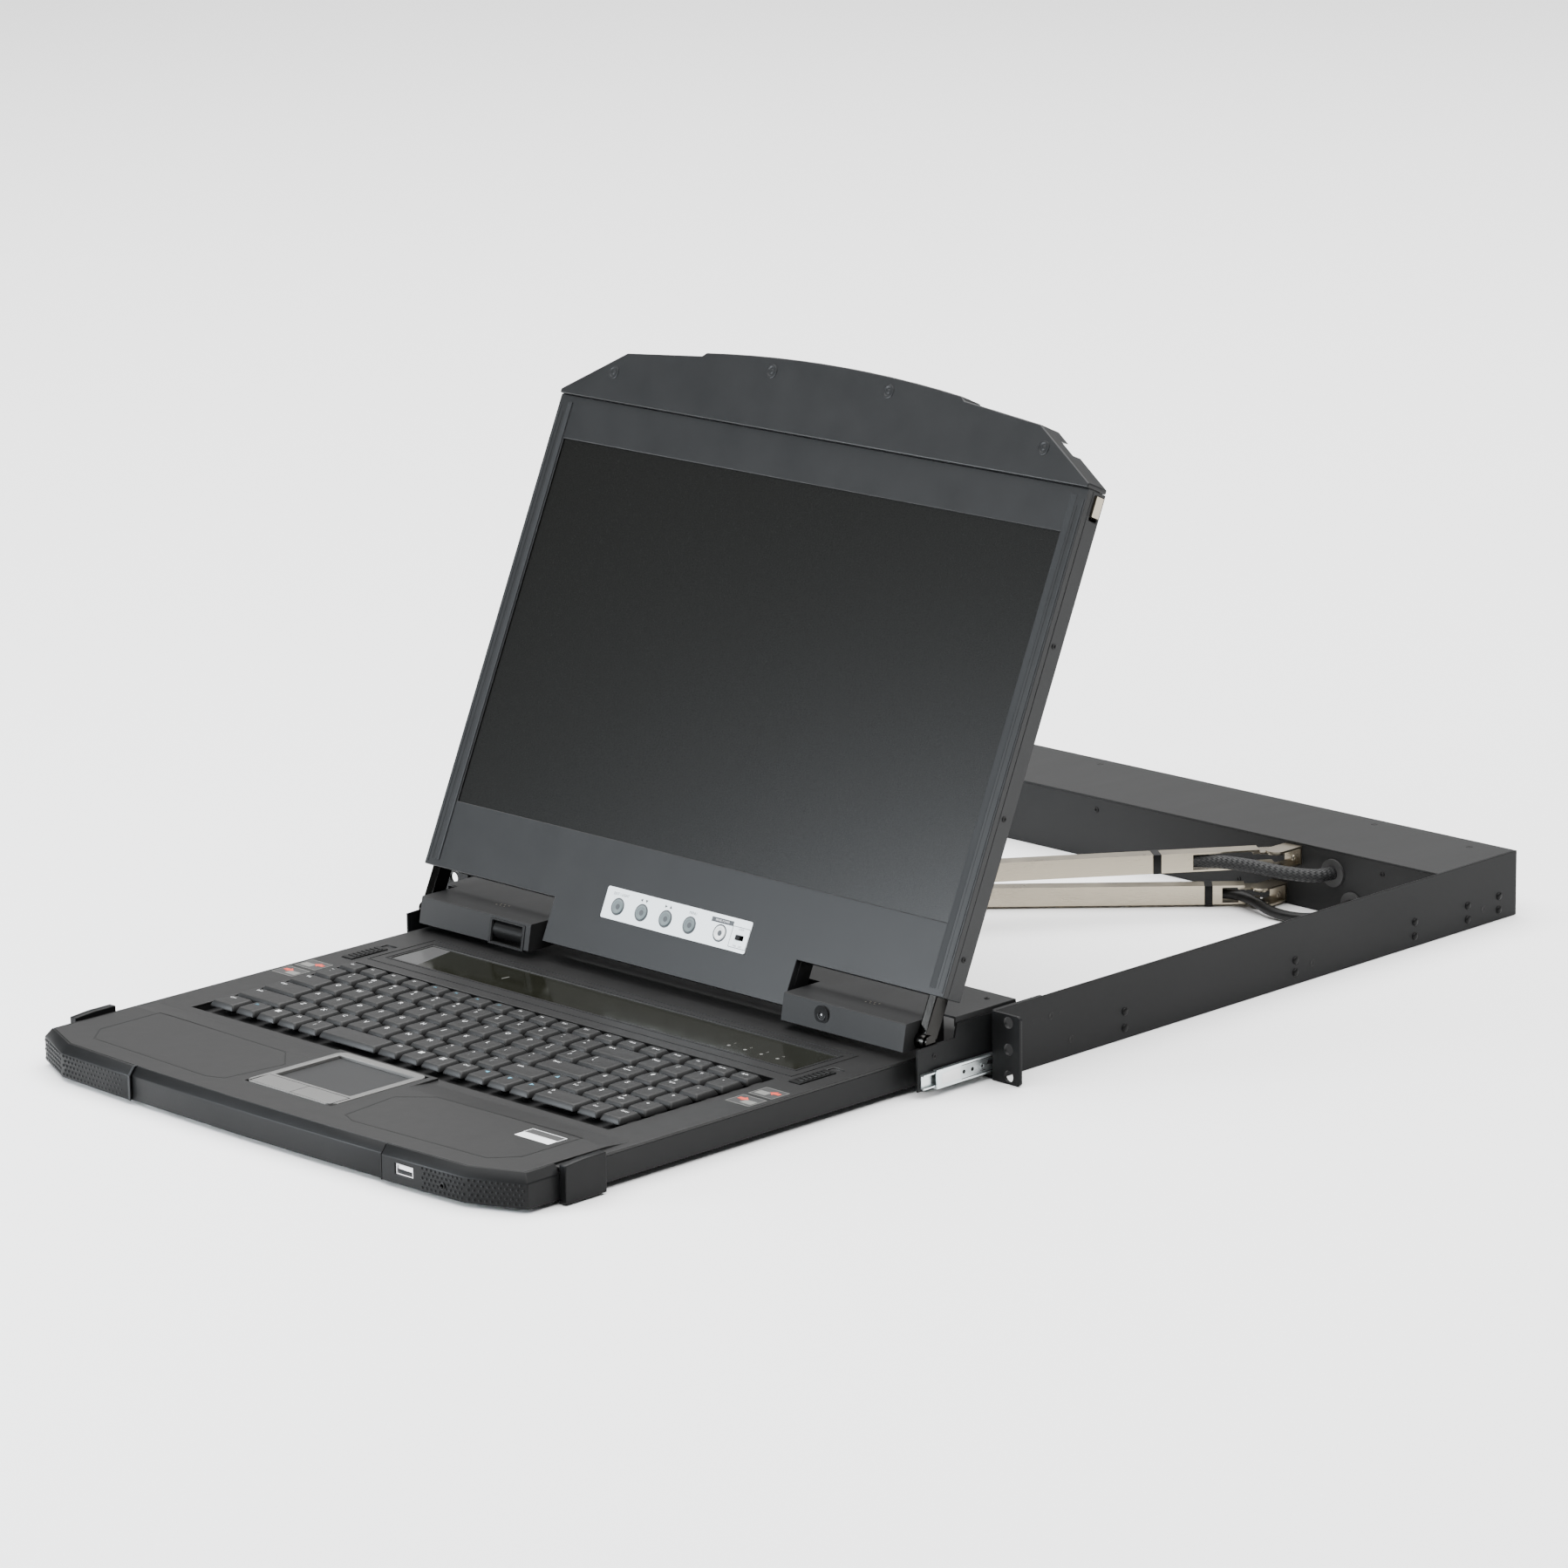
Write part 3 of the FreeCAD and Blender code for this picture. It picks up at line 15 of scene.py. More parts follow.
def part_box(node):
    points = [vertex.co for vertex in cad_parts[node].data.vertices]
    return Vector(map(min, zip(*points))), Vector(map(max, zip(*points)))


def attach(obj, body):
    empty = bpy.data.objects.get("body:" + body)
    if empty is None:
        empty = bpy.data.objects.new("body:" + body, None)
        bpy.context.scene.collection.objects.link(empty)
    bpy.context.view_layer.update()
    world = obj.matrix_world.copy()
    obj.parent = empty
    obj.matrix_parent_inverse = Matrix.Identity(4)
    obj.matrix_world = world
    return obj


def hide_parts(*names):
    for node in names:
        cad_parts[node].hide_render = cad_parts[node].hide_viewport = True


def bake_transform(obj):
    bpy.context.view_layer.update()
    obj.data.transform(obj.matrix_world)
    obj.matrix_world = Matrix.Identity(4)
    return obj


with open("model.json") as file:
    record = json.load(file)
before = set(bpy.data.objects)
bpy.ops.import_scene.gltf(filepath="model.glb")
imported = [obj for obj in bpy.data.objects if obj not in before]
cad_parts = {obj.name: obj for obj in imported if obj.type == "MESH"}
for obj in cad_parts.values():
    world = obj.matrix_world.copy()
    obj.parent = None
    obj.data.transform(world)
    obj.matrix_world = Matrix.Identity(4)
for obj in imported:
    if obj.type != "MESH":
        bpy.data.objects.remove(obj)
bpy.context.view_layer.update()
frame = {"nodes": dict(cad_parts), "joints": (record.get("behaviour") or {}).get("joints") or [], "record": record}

MM = 0.001


# ---- shader sockets as sums ----
class Shade:
    """A shader socket that takes part in Python expressions."""

    def __init__(self, look, socket):
        self.look = look
        self.socket = socket

    def maths(self, operation, first, second=0.0):
        return self.look.add("Math", {"operation": operation}, {0: first, 1: second})

    def __add__(self, other):
        return self.maths("ADD", self, other)

    def __sub__(self, other):
        return self.maths("SUBTRACT", self, other)

    def __rsub__(self, other):
        return self.maths("SUBTRACT", other, self)

    def __mul__(self, other):
        return self.maths("MULTIPLY", self, other)

    def __gt__(self, other):
        return self.maths("GREATER_THAN", self, other)

    def sine(self):
        return self.maths("SINE", self)

    def size(self):
        return self.maths("ABSOLUTE", self)


class Look:
    """One procedural finish, made node by node."""

    def __init__(self, name):
        self.material = bpy.data.materials.new(name)
        self.material.use_nodes = True
        self.tree = self.material.node_tree
        self.tree.nodes.clear()
        self.here = self.add("TexCoord", out="Object")

    def add(self, kind, settings=None, inputs=None, out=0):
        """Any node, from its type, its settings and the values or links of its sockets."""
        node = self.tree.nodes.new("ShaderNode" + kind)
        for name, value in (settings or {}).items():
            setattr(node, name, value)
        for key, value in (inputs or {}).items():
            if isinstance(value, Shade):
                self.tree.links.new(value.socket, node.inputs[key])
            else:
                node.inputs[key].default_value = value
        return None if out is None else Shade(self, node.outputs[out])

    def stretched(self, scale, turn=(0.0, 0.0, 0.0)):
        """Object coordinates, stretched or turned for a grain."""
        return self.add("Mapping", None, {"Vector": self.here, "Rotation": turn, "Scale": scale})

    def noise(self, scale, detail=2.0, where=None, roughness=0.5):
        return self.add("TexNoise", None, {"Vector": where or self.here, "Scale": scale,
                                           "Detail": detail, "Roughness": roughness})

    def cells(self, scale, where=None, feature="F1", out="Distance"):
        return self.add("TexVoronoi", {"feature": feature}, {"Vector": where or self.here, "Scale": scale},
                        out=out)

    def blend(self, share, first, second):
        """One colour going over into another."""
        return self.add("Mix", {"data_type": "RGBA"}, {0: share, 6: first, 7: second}, out=2)

    def relief(self, height, distance, strength):
        return self.add("Bump", None, {"Height": height, "Distance": distance, "Strength": strength})

    def surface(self, **inputs):
        """The finish itself. Names are the shader's own, with underscores for spaces."""
        sockets = {name.replace("_", " "): value for name, value in inputs.items()}
        shader = self.add("BsdfPrincipled", None, sockets)
        self.add("OutputMaterial", None, {"Surface": shader}, out=None)
        return self.material


def grey(value, warmth=0.0):
    """A neutral tone, a little warmer or cooler."""
    return (value * (1 + warmth), value, value * (1 - warmth), 1.0)


# ---- finishes ----
def satin_paint(name, tone, warmth=-0.03, rough=0.42, orange_peel=0.00003, shine=0.12):
    """Powder coat on sheet metal: an orange peel, with a faint mottling and handling marks."""
    look = Look(name)
    broad = look.noise(9.0, 3.0)
    speckle = look.noise(2600.0, 1.0)
    peel = look.noise(1100.0, 2.0)
    smear = look.noise(22.0, 4.0, look.stretched((1.0, 0.35, 1.0)))
    colour = look.blend(broad * 0.6 + speckle * 0.4, grey(tone * 0.82, warmth), grey(tone * 1.2, warmth))
    return look.surface(Base_Color=colour, Roughness=smear * 0.14 + (rough - 0.07),
                        Specular_IOR_Level=shine, Normal=look.relief(peel, orange_peel, 0.6))


def moulded_plastic(name, tone, warmth=-0.02, rough=0.44, grain=700.0, depth=0.00004, shine=0.12):
    """Injection moulded plastic with a fine spark-eroded grain."""
    look = Look(name)
    pits = look.cells(grain)
    fine = look.noise(grain * 2.3, 2.0)
    broad = look.noise(14.0, 3.0)
    rubbed = look.noise(45.0, 2.0)
    colour = look.blend(broad * 0.7 + fine * 0.3, grey(tone * 0.85, warmth), grey(tone * 1.18, warmth))
    return look.surface(Base_Color=colour, Roughness=rubbed * 0.12 + (rough - 0.06),
                        Specular_IOR_Level=shine,
                        Normal=look.relief(pits * 0.6 + fine * 0.4, depth, 0.55))


def rolled_metal(name, colour, rough=0.3, stretch=(40.0, 1.0, 40.0), scratch=0.00001, dull=0.75):
    """Plated or bare sheet metal with the fine lines that rolling leaves, and dull patches; stretched long on the
    chrome, they are streaks of painted reflection.
    """
    look = Look(name)
    lines = look.noise(60.0, 3.0, look.stretched(stretch))
    patches = look.noise(38.0, 4.0)
    dark = tuple(c * dull for c in colour[:3]) + (1.0,)
    return look.surface(Base_Color=look.blend(patches * 0.6 + lines * 0.4, dark, colour), Metallic=1.0,
                        Roughness=lines * 0.16 + patches * 0.12 + (rough - 0.14),
                        Normal=look.relief(lines, scratch, 0.4))


def screen_glass(name):
    """A dark anti-glare panel: a matte film over a nearly black display."""
    look = Look(name)
    film = look.noise(5200.0, 1.0)
    broad = look.noise(3.0, 2.0)
    return look.surface(Base_Color=look.blend(broad, (0.0022, 0.0023, 0.0018, 1), (0.0034, 0.0034, 0.003, 1)),
                        Roughness=film * 0.05 + 0.25, Specular_IOR_Level=0.3,
                        Normal=look.relief(film, 0.000004, 0.35))


def window_plastic(name):
    """A smoked, glossy window over the status lamps."""
    look = Look(name)
    haze = look.noise(60.0, 3.0)
    return look.surface(Base_Color=look.blend(haze, (0.006, 0.0062, 0.004, 1), (0.01, 0.0103, 0.007, 1)),
                        Roughness=haze * 0.05 + 0.09, Specular_IOR_Level=0.4)


def brushed_plate(name, colour, rough=0.34, metal=0.55, glint=0.95):
    """A silver lacquered trim with fine metallic flakes."""
    look = Look(name)
    flakes = look.cells(3400.0, out="Color")
    grain = look.noise(900.0, 2.0)
    sheen = look.noise(12.0, 2.0)
    dull = tuple(c * 0.88 for c in colour[:3]) + (1.0,)
    tint = look.blend(sheen, dull, colour)
    glitter = look.add("RGBToBW", None, {0: flakes})
    return look.surface(Base_Color=look.blend(glitter * 0.25, tint, grey(glint)), Metallic=metal,
                        Roughness=glitter * 0.12 + rough, Normal=look.relief(grain, 0.000008, 0.5))


def soft_rubber(name, tone=0.02, rough=0.6):
    look = Look(name)
    dust = look.noise(70.0, 4.0)
    pores = look.noise(1900.0, 2.0)
    return look.surface(Base_Color=look.blend(dust, grey(tone * 0.8), grey(tone * 1.5)),
                        Roughness=dust * 0.15 + (rough - 0.07), Normal=look.relief(pores, 0.00002, 0.5))


def button_rubber(name, colour, rough=0.5):
    """A silicone button, darker and smoother in cloudy patches."""
    look = Look(name)
    cloud = look.noise(260.0, 2.0)
    pores = look.noise(2500.0, 1.0)
    dark = tuple(c * 0.8 for c in colour[:3]) + (1.0,)
    return look.surface(Base_Color=look.blend(cloud, dark, colour), Roughness=cloud * 0.15 + (rough - 0.07),
                        Normal=look.relief(pores, 0.00001, 0.5))


def key_plastic(name):
    """Keyboard caps: fine grain, with worn gloss in patches."""
    look = Look(name)
    grain = look.noise(2100.0, 2.0)
    worn = look.noise(70.0, 2.0)
    colour = look.blend(worn, grey(0.004, -0.01), grey(0.007, -0.01))
    return look.surface(Base_Color=colour, Roughness=0.6 - worn * 0.22, Specular_IOR_Level=0.3,
                        Normal=look.relief(grain, 0.00003, 0.5))


def circuit_board(name):
    """Green solder mask with copper runs under it."""
    look = Look(name)
    runs = look.cells(260.0, feature="DISTANCE_TO_EDGE")
    mask = look.noise(30.0, 2.0)
    green = look.blend(mask, (0.008, 0.07, 0.022, 1), (0.012, 0.1, 0.03, 1))
    return look.surface(Base_Color=look.blend(runs > 0.06, (0.02, 0.2, 0.06, 1), green), Roughness=0.35,
                        Coat_Weight=0.3, Normal=look.relief(runs, 0.00005, 0.5))


def woven_braid(name):
    """Expandable braided sleeve: flat strands that cross over and under each other, painted lighter on their
    crowns and darker between them as highlight and shade.
    """
    look = Look(name)
    uv = look.add("UVMap", None, None)
    around = look.add("SeparateXYZ", None, {0: uv}, out="X")
    along = look.add("SeparateXYZ", None, {0: uv}, out="Y")
    left = ((around + along) * math.tau).sine()
    right = ((around - along) * math.tau).sine()
    over = (left * right) > 0.0
    strand = left.size() * over + right.size() * (1 - over)
    # Colour follows the strands' rise: painted highlight on their crowns and painted shade where they dip.
    colour = look.blend(strand, grey(0.002), grey(0.022, -0.02))
    return look.surface(Base_Color=colour, Roughness=0.52 - strand * 0.14, Specular_IOR_Level=0.2,
                        Normal=look.relief(strand, 0.00035, 0.9))


def cable_sheath(name):
    """Black PVC with a dull bloom and faint lay marks."""
    look = Look(name)
    bloom = look.noise(55.0, 3.0)
    lay = look.noise(500.0, 2.0)
    return look.surface(Base_Color=look.blend(bloom, grey(0.003), grey(0.007)), Roughness=bloom * 0.14 + 0.36,
                        Specular_IOR_Level=0.2,
                        Normal=look.relief(lay, 0.00002, 0.5))


def printed_ink(name, colour, rough=0.45):
    """Printed legends, with the ink a little uneven."""
    look = Look(name)
    uneven = look.noise(1500.0, 2.0)
    faded = tuple(c * 0.82 for c in colour[:3]) + (1.0,)
    return look.surface(Base_Color=look.blend(uneven, faded, colour), Roughness=uneven * 0.1 + rough)


def pad_surface(name):
    """The touchpad's own face: very fine matte grain that catches a little light."""
    look = Look(name)
    grain = look.noise(3200.0, 2.0)
    broad = look.noise(25.0, 2.0)
    return look.surface(Base_Color=look.blend(broad, grey(0.009, -0.04), grey(0.012, -0.05)),
                        Roughness=grain * 0.08 + 0.36, Specular_IOR_Level=0.3,
                        Normal=look.relief(grain, 0.000012, 0.5))


def pale_floor(name):
    look = Look(name)
    cloud = look.noise(0.6, 2.0)
    return look.surface(Base_Color=look.blend(cloud, grey(0.86), grey(0.9)), Roughness=0.8)


looks = {}


def add_look(maker, name, *settings, **more):
    looks[name] = maker(name, *settings, **more)


add_look(satin_paint, "housing_paint", 0.0062, -0.04, 0.44)
add_look(satin_paint, "cover_paint", 0.016, -0.01, 0.46)
add_look(satin_paint, "tray_paint", 0.007, -0.03, 0.44)
add_look(moulded_plastic, "deck_paint", 0.0045, 0.0, 0.46, 900.0, 0.00003, 0.28)
add_look(moulded_plastic, "grip_plastic", 0.0048, -0.04, 0.42, 820.0, 0.00004)
add_look(moulded_plastic, "lid_plastic", 0.0085, -0.05, 0.4, 1000.0, 0.00002, 0.24)
add_look(screen_glass, "screen_glass")
add_look(brushed_plate, "silver_plate", (0.72, 0.77, 0.79, 1), 0.38, 0.25)
add_look(button_rubber, "button_grey", (0.11, 0.14, 0.145, 1))
add_look(button_rubber, "button_white", (0.82, 0.84, 0.84, 1), 0.4)
add_look(moulded_plastic, "switch_dark", 0.006, 0.0, 0.36, 1200.0, 0.00002)
add_look(rolled_metal, "zinc", (0.80, 0.86, 0.87, 1), 0.3, dull=0.8)
add_look(rolled_metal, "nickel", (0.45, 0.4, 0.315, 1), 0.3, (1.0, 1.0, 30.0), dull=0.72)
# The chrome's colour is dark, with dark and light streaks along the parts: painted reflections.
add_look(rolled_metal, "chrome", (0.035, 0.034, 0.032, 1), 0.16, (9.0, 9.0, 0.4), dull=0.2)
add_look(key_plastic, "key_plastic")
add_look(brushed_plate, "pad_bezel", (0.085, 0.084, 0.08, 1), 0.38, 0.1, 0.22)
add_look(pad_surface, "pad_surface")
add_look(window_plastic, "window_plastic")
add_look(rolled_metal, "socket_metal", (0.66, 0.66, 0.67, 1), 0.34, dull=0.8)
add_look(moulded_plastic, "socket_black", 0.006, 0.0, 0.4, 1400.0, 0.00002)
add_look(circuit_board, "board")
add_look(soft_rubber, "rubber")
add_look(woven_braid, "braid")
add_look(cable_sheath, "cable_jacket")
add_look(printed_ink, "legend_white", (0.75, 0.76, 0.77, 1))
add_look(printed_ink, "legend_blue", (0.09, 0.3, 0.42, 1))
add_look(printed_ink, "legend_dark", (0.03, 0.035, 0.04, 1))
add_look(printed_ink, "arrow_red", (0.55, 0.045, 0.02, 1))
add_look(printed_ink, "label_grey", (0.14, 0.14, 0.13, 1))
add_look(printed_ink, "label_ground", (0.02, 0.02, 0.02, 1))
add_look(moulded_plastic, "slide_insert", 0.8, 0.0, 0.4, 900.0, 0.00002)
add_look(pale_floor, "pale_floor")
# A lighter copy of the lid plastic: its lighter tone is a painted highlight on the lid's tilted side strips and
# rails and along the handle's seam strip.
add_look(moulded_plastic, "side_strip", 0.02, -0.05, 0.4, 1200.0, 0.00001)
add_look(moulded_plastic, "handle_plug", 0.014, -0.04, 0.36, 1200.0, 0.00001)
# A darker copy of the housing paint for the slide rivet heads: painted shade.
add_look(satin_paint, "painted_rivet", 0.003, -0.02, 0.4)
add_look(moulded_plastic, "window_clear", 0.06, 0.0, 0.2, 900.0, 0.000005)

slot_of_node = {part["node"]: part["material_slot"] for part in frame["record"]["subparts"]}
for name, solid in frame["nodes"].items():
    look = looks[slot_of_node[name]]
    for place in solid.material_slots:
        place.material = look
    if not solid.material_slots:
        solid.data.materials.append(look)


# ---- making pieces ----
def joint_at(name):
    """Where a joint's axis is, in millimetres."""
    return Vector(next(j["pos_m"] for j in frame["joints"] if j["name"] == name)) / MM


lid_tilt = math.radians(24.3)
hinge = joint_at("lid_hinge")
AS_IS = Matrix.Identity(4)
UP, OUTWARDS = (0.0, 0.0, 1.0), (1.0, 0.0, 0.0)
FORWARDS, BACKWARDS = (0.0, -1.0, 0.0), (0.0, 1.0, 0.0)
LEANED = Matrix.Translation(hinge) @ Matrix.Rotation(-lid_tilt, 4, "X")


def node_box(name):
    """Lowest and highest corner of a solid, in millimetres."""
    low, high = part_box(name)
    return Vector(low) / MM, Vector(high) / MM


def finish(name, mesh, body, slot, place=AS_IS, smooth=None, stands_for=(), look=None):
    """Turn a mesh in millimetres into a piece that rides on its body, finished as its slot or its look."""
    mesh.transform(Matrix.Scale(MM, 4) @ place)
    mesh.name = name
    piece = bpy.data.objects.new(name, mesh)
    bpy.context.scene.collection.objects.link(piece)
    if not mesh.materials:
        mesh.materials.append(looks[look or slot])
    if smooth is not None:
        mesh.shade_smooth()
        mesh.set_sharp_from_angle(angle=math.radians(smooth))
    if body:
        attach(piece, body)
    if stands_for:
        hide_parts(*stands_for)
    return piece


def from_bmesh(bm):
    mesh = bpy.data.meshes.new("shape")
    bm.normal_update()
    bm.to_mesh(mesh)
    bm.free()
    return mesh


def outward(bm):
    bmesh.ops.recalc_face_normals(bm, faces=bm.faces)


def closed(bm):
    """The mesh of closed shapes, with their faces outwards."""
    outward(bm)
    return from_bmesh(bm)


def printed(bm, way=UP):
    """The mesh of flat printing, turned to face one way."""
    for face in bm.faces:
        face.normal_update()
        if face.normal.dot(Vector(way)) < 0:
            face.normal_flip()
    return from_bmesh(bm)


def add_flat(bm, points):
    bm.faces.new([bm.verts.new(point) for point in points])


def bridge(bm, rings):
    """Faces between rings that have as many points each."""
    for ring, following in zip(rings, rings[1:]):
        for i in range(len(ring)):
            j = (i + 1) % len(ring)
            bm.faces.new((ring[i], ring[j], following[j], following[i]))


def add_block(bm, x0, x1, y0, y1, z0, z1, ease=0.0):
    """A box between two corners, with its edges eased."""
    made = bmesh.ops.create_cube(bm, size=1.0)["verts"]
    for vertex in made:
        vertex.co = Vector(((x0 + x1) / 2 + vertex.co.x * (x1 - x0), (y0 + y1) / 2 + vertex.co.y * (y1 - y0),
                            (z0 + z1) / 2 + vertex.co.z * (z1 - z0)))
    if ease:
        edges = {edge for vertex in made for edge in vertex.link_edges}
        bmesh.ops.bevel(bm, geom=list(edges), offset=ease, segments=2, affect="EDGES", profile=0.5)


def add_outline(bm, points, direction):
    """A flat outline of points pulled along a direction, closed at both ends."""
    pull = Vector(direction)
    low = [bm.verts.new(Vector(point)) for point in points]
    high = [bm.verts.new(Vector(point) + pull) for point in points]
    bm.faces.new(low)
    bm.faces.new(list(reversed(high)))
    for index in range(len(points)):
        after = (index + 1) % len(points)
        bm.faces.new((low[after], low[index], high[index], high[after]))


def add_turned(bm, centre, axis, profile, segments=20):
    """A turned piece: rings of (radius, distance along the axis), closed at both ends."""
    axis = Vector(axis).normalized()
    side = axis.orthogonal().normalized()
    other = axis.cross(side)
    rings = []
    for radius, along in profile:
        middle = Vector(centre) + axis * along
        if radius <= 0:
            rings.append([bm.verts.new(middle)])
            continue
        rings.append([bm.verts.new(middle + side * (radius * math.cos(math.tau * i / segments))
                                   + other * (radius * math.sin(math.tau * i / segments)))
                      for i in range(segments)])
    for ring, following in zip(rings, rings[1:]):
        for i in range(segments):
            j = (i + 1) % segments
            if len(ring) == 1:
                bm.faces.new((ring[0], following[j], following[i]))
            elif len(following) == 1:
                bm.faces.new((ring[i], ring[j], following[0]))
            else:
                bm.faces.new((ring[i], ring[j], following[j], following[i]))
    for ring, flip in ((rings[0], True), (rings[-1], False)):
        if len(ring) > 1:
            bm.faces.new(list(reversed(ring)) if flip else ring)


def turned_mesh(centre, profile, segments):
    """The mesh of one piece turned about the Y axis."""
    bm = bmesh.new()
    add_turned(bm, centre, BACKWARDS, profile, segments)
    return closed(bm)


def arrowhead(size, heading, spread):
    """Three points about the origin, the first of them the tip."""
    return [(size * math.cos(math.radians(heading + turn)), size * math.sin(math.radians(heading + turn)))
            for turn in (0, spread, 360 - spread)]


def rounded_rectangle(width, height, radius, steps=6):
    """Points of a rectangle with rounded corners, about its centre."""
    points = []
    for cx, cy, start in ((1, 1, 0), (-1, 1, 90), (-1, -1, 180), (1, -1, 270)):
        for i in range(steps + 1):
            angle = math.radians(start + 90 * i / steps)
            points.append((cx * (width / 2 - radius) + radius * math.cos(angle),
                           cy * (height / 2 - radius) + radius * math.sin(angle)))
    return points


# ---- lettering ----
letter_curve = bpy.data.curves.new("lettering", "FONT")
letter_curve.align_x = "CENTER"
letter_curve.align_y = "CENTER"
letter_object = bpy.data.objects.new("lettering", letter_curve)
bpy.context.scene.collection.objects.link(letter_object)


def add_words(bm, words, size, place):
    """Flat words facing the place's own +Z, about its origin."""
    letter_curve.body = words
    letter_curve.size = size
    letter_curve.resolution_u = 2
    evaluated = letter_object.evaluated_get(bpy.context.evaluated_depsgraph_get())
    bpy.context.view_layer.update()
    mesh = bpy.data.meshes.new_from_object(evaluated)
    mesh.transform(place)
    bm.from_mesh(mesh)
    bpy.data.meshes.remove(mesh)


ON_LID = Matrix.Rotation(math.radians(90), 4, "X")


def at(x, y, z, turned=AS_IS):
    return Matrix.Translation((x, y, z)) @ turned


# ---- camera, lights and floor ----
camera_angles = (45.11, 14.38, -0.82)
camera_target = (0.05396, 0.0, 0.124)
camera_distance, camera_lens = 3.68481, 146.0


def build_camera():
    azimuth, elevation, roll = (math.radians(angle) for angle in camera_angles)
    back = Vector((math.sin(azimuth) * math.cos(elevation), -math.cos(azimuth) * math.cos(elevation),
                   math.sin(elevation)))
    right = (-back).cross(Vector((0, 0, 1))).normalized()
    up = right.cross(-back)
    leaned_right = right * math.cos(roll) + up * math.sin(roll)
    leaned_up = up * math.cos(roll) - right * math.sin(roll)
    data = bpy.data.cameras.new("camera")
    data.lens = camera_lens
    data.sensor_width = 36.0
    camera = bpy.data.objects.new("camera", data)
    bpy.context.scene.collection.objects.link(camera)
    rotation = Matrix((leaned_right, leaned_up, back)).transposed().to_4x4()
    camera.matrix_world = Matrix.Translation(Vector(camera_target) + back * camera_distance) @ rotation
    data.clip_end = 100.0
    bpy.context.scene.camera = camera


lamp_aim_height = 0.1
floor_gap = 0.2


def soft_box(name, towards, distance, size, power, colour=(1, 1, 1)):
    """A large lamp facing the console: towards is its azimuth and elevation in degrees."""
    azimuth, elevation = (math.radians(angle) for angle in towards)
    place = Vector((math.sin(azimuth) * math.cos(elevation), -math.cos(azimuth) * math.cos(elevation),
                    math.sin(elevation))) * distance + Vector((0, 0, lamp_aim_height))
    lamp = bpy.data.lights.new(name, "AREA")
    lamp.shape = "RECTANGLE"
    lamp.size, lamp.size_y = size
    lamp.energy = power
    lamp.color = colour
    holder = bpy.data.objects.new(name, lamp)
    bpy.context.scene.collection.objects.link(holder)
    holder.rotation_mode = "QUATERNION"
    holder.rotation_quaternion = place.to_track_quat("Z", "Y")
    holder.location = place


def build_stage():
    world = bpy.data.worlds.new("studio")
    bpy.context.scene.world = world
    world.use_nodes = True
    background = world.node_tree.nodes["Background"]
    background.inputs["Color"].default_value = (1.0, 1.0, 1.0, 1.0)
    background.inputs["Strength"].default_value = 0.2
    soft_box("ceiling_light", (180, 86), 4.0, (8.0, 8.0), 1350.0)
    soft_box("back_wall_light", (225, 12), 7.0, (10.0, 3.0), 45.0)
    soft_box("low_left_light", (-27, 9), 2.0, (0.75, 0.8), 62.0, (0.88, 0.94, 1.0))

    low = node_box("electronics_box")[0].z - floor_gap
    floor = bpy.data.meshes.new("floor")
    bm = bmesh.new()
    bmesh.ops.create_grid(bm, x_segments=8, y_segments=8, size=20000.0)
    for vertex in bm.verts:
        vertex.co.z = low
    bm.to_mesh(floor)
    bm.free()
    finish("floor", floor, None, None, look="pale_floor")


build_camera()
build_stage()


# ---- cables ----
def along_route(points):
    """Points along the smooth line that has these control points, given in millimetres."""
    curve = bpy.data.curves.new("route", "CURVE")
    curve.dimensions = "3D"
    curve.resolution_u = 24
    spline = curve.splines.new("NURBS")
    spline.points.add(len(points) - 1)
    for control, point in zip(spline.points, points):
        control.co = (*(coordinate * MM for coordinate in point), 1.0)
    spline.order_u = 3
    spline.use_endpoint_u = True
    holder = bpy.data.objects.new("route", curve)
    bpy.context.scene.collection.objects.link(holder)
    mesh = bpy.data.meshes.new_from_object(holder.evaluated_get(bpy.context.evaluated_depsgraph_get()))
    line = [vertex.co.copy() for vertex in mesh.vertices]
    bpy.data.objects.remove(holder)
    bpy.data.meshes.remove(mesh)
    return line


braid_pitch, braid_strands = 0.0068, 8


def length_of(line):
    return sum((b - a).length for a, b in zip(line, line[1:]))


def sleeve_mesh(line, radius, sides=24):
    """A tube round a line in metres, with a UV map: strands around, turns along."""
    bm = bmesh.new()
    uv = bm.loops.layers.uv.new("UVMap")
    last = len(line) - 1
    tangents = [(line[min(i + 1, last)] - line[max(i - 1, 0)]).normalized() for i in range(len(line))]
    side = tangents[0].orthogonal().normalized()
    rings = []
    travelled = [0.0]
    for a, b in zip(line, line[1:]):
        travelled.append(travelled[-1] + (b - a).length)
    for point, tangent in zip(line, tangents):
        side = (side - tangent * side.dot(tangent)).normalized()
        other = tangent.cross(side)
        rings.append([bm.verts.new(point + radius * (side * math.cos(math.tau * i / sides)
                                                     + other * math.sin(math.tau * i / sides)))
                      for i in range(sides)])
    for index, (ring, following) in enumerate(zip(rings, rings[1:])):
        for i in range(sides):
            j = (i + 1) % sides
            face = bm.faces.new((ring[i], ring[j], following[j], following[i]))
            turns = (i, i + 1, i + 1, i)
            lengths = (travelled[index], travelled[index], travelled[index + 1], travelled[index + 1])
            for loop, turn, length in zip(face.loops, turns, lengths):
                loop[uv].uv = (turn / sides * braid_strands, length / braid_pitch)
    for ring, flip in ((rings[0], True), (rings[-1], False)):
        face = bm.faces.new(list(reversed(ring)) if flip else ring)
        for loop in face.loops:
            loop[uv].uv = (0, 0)
    return closed(bm)


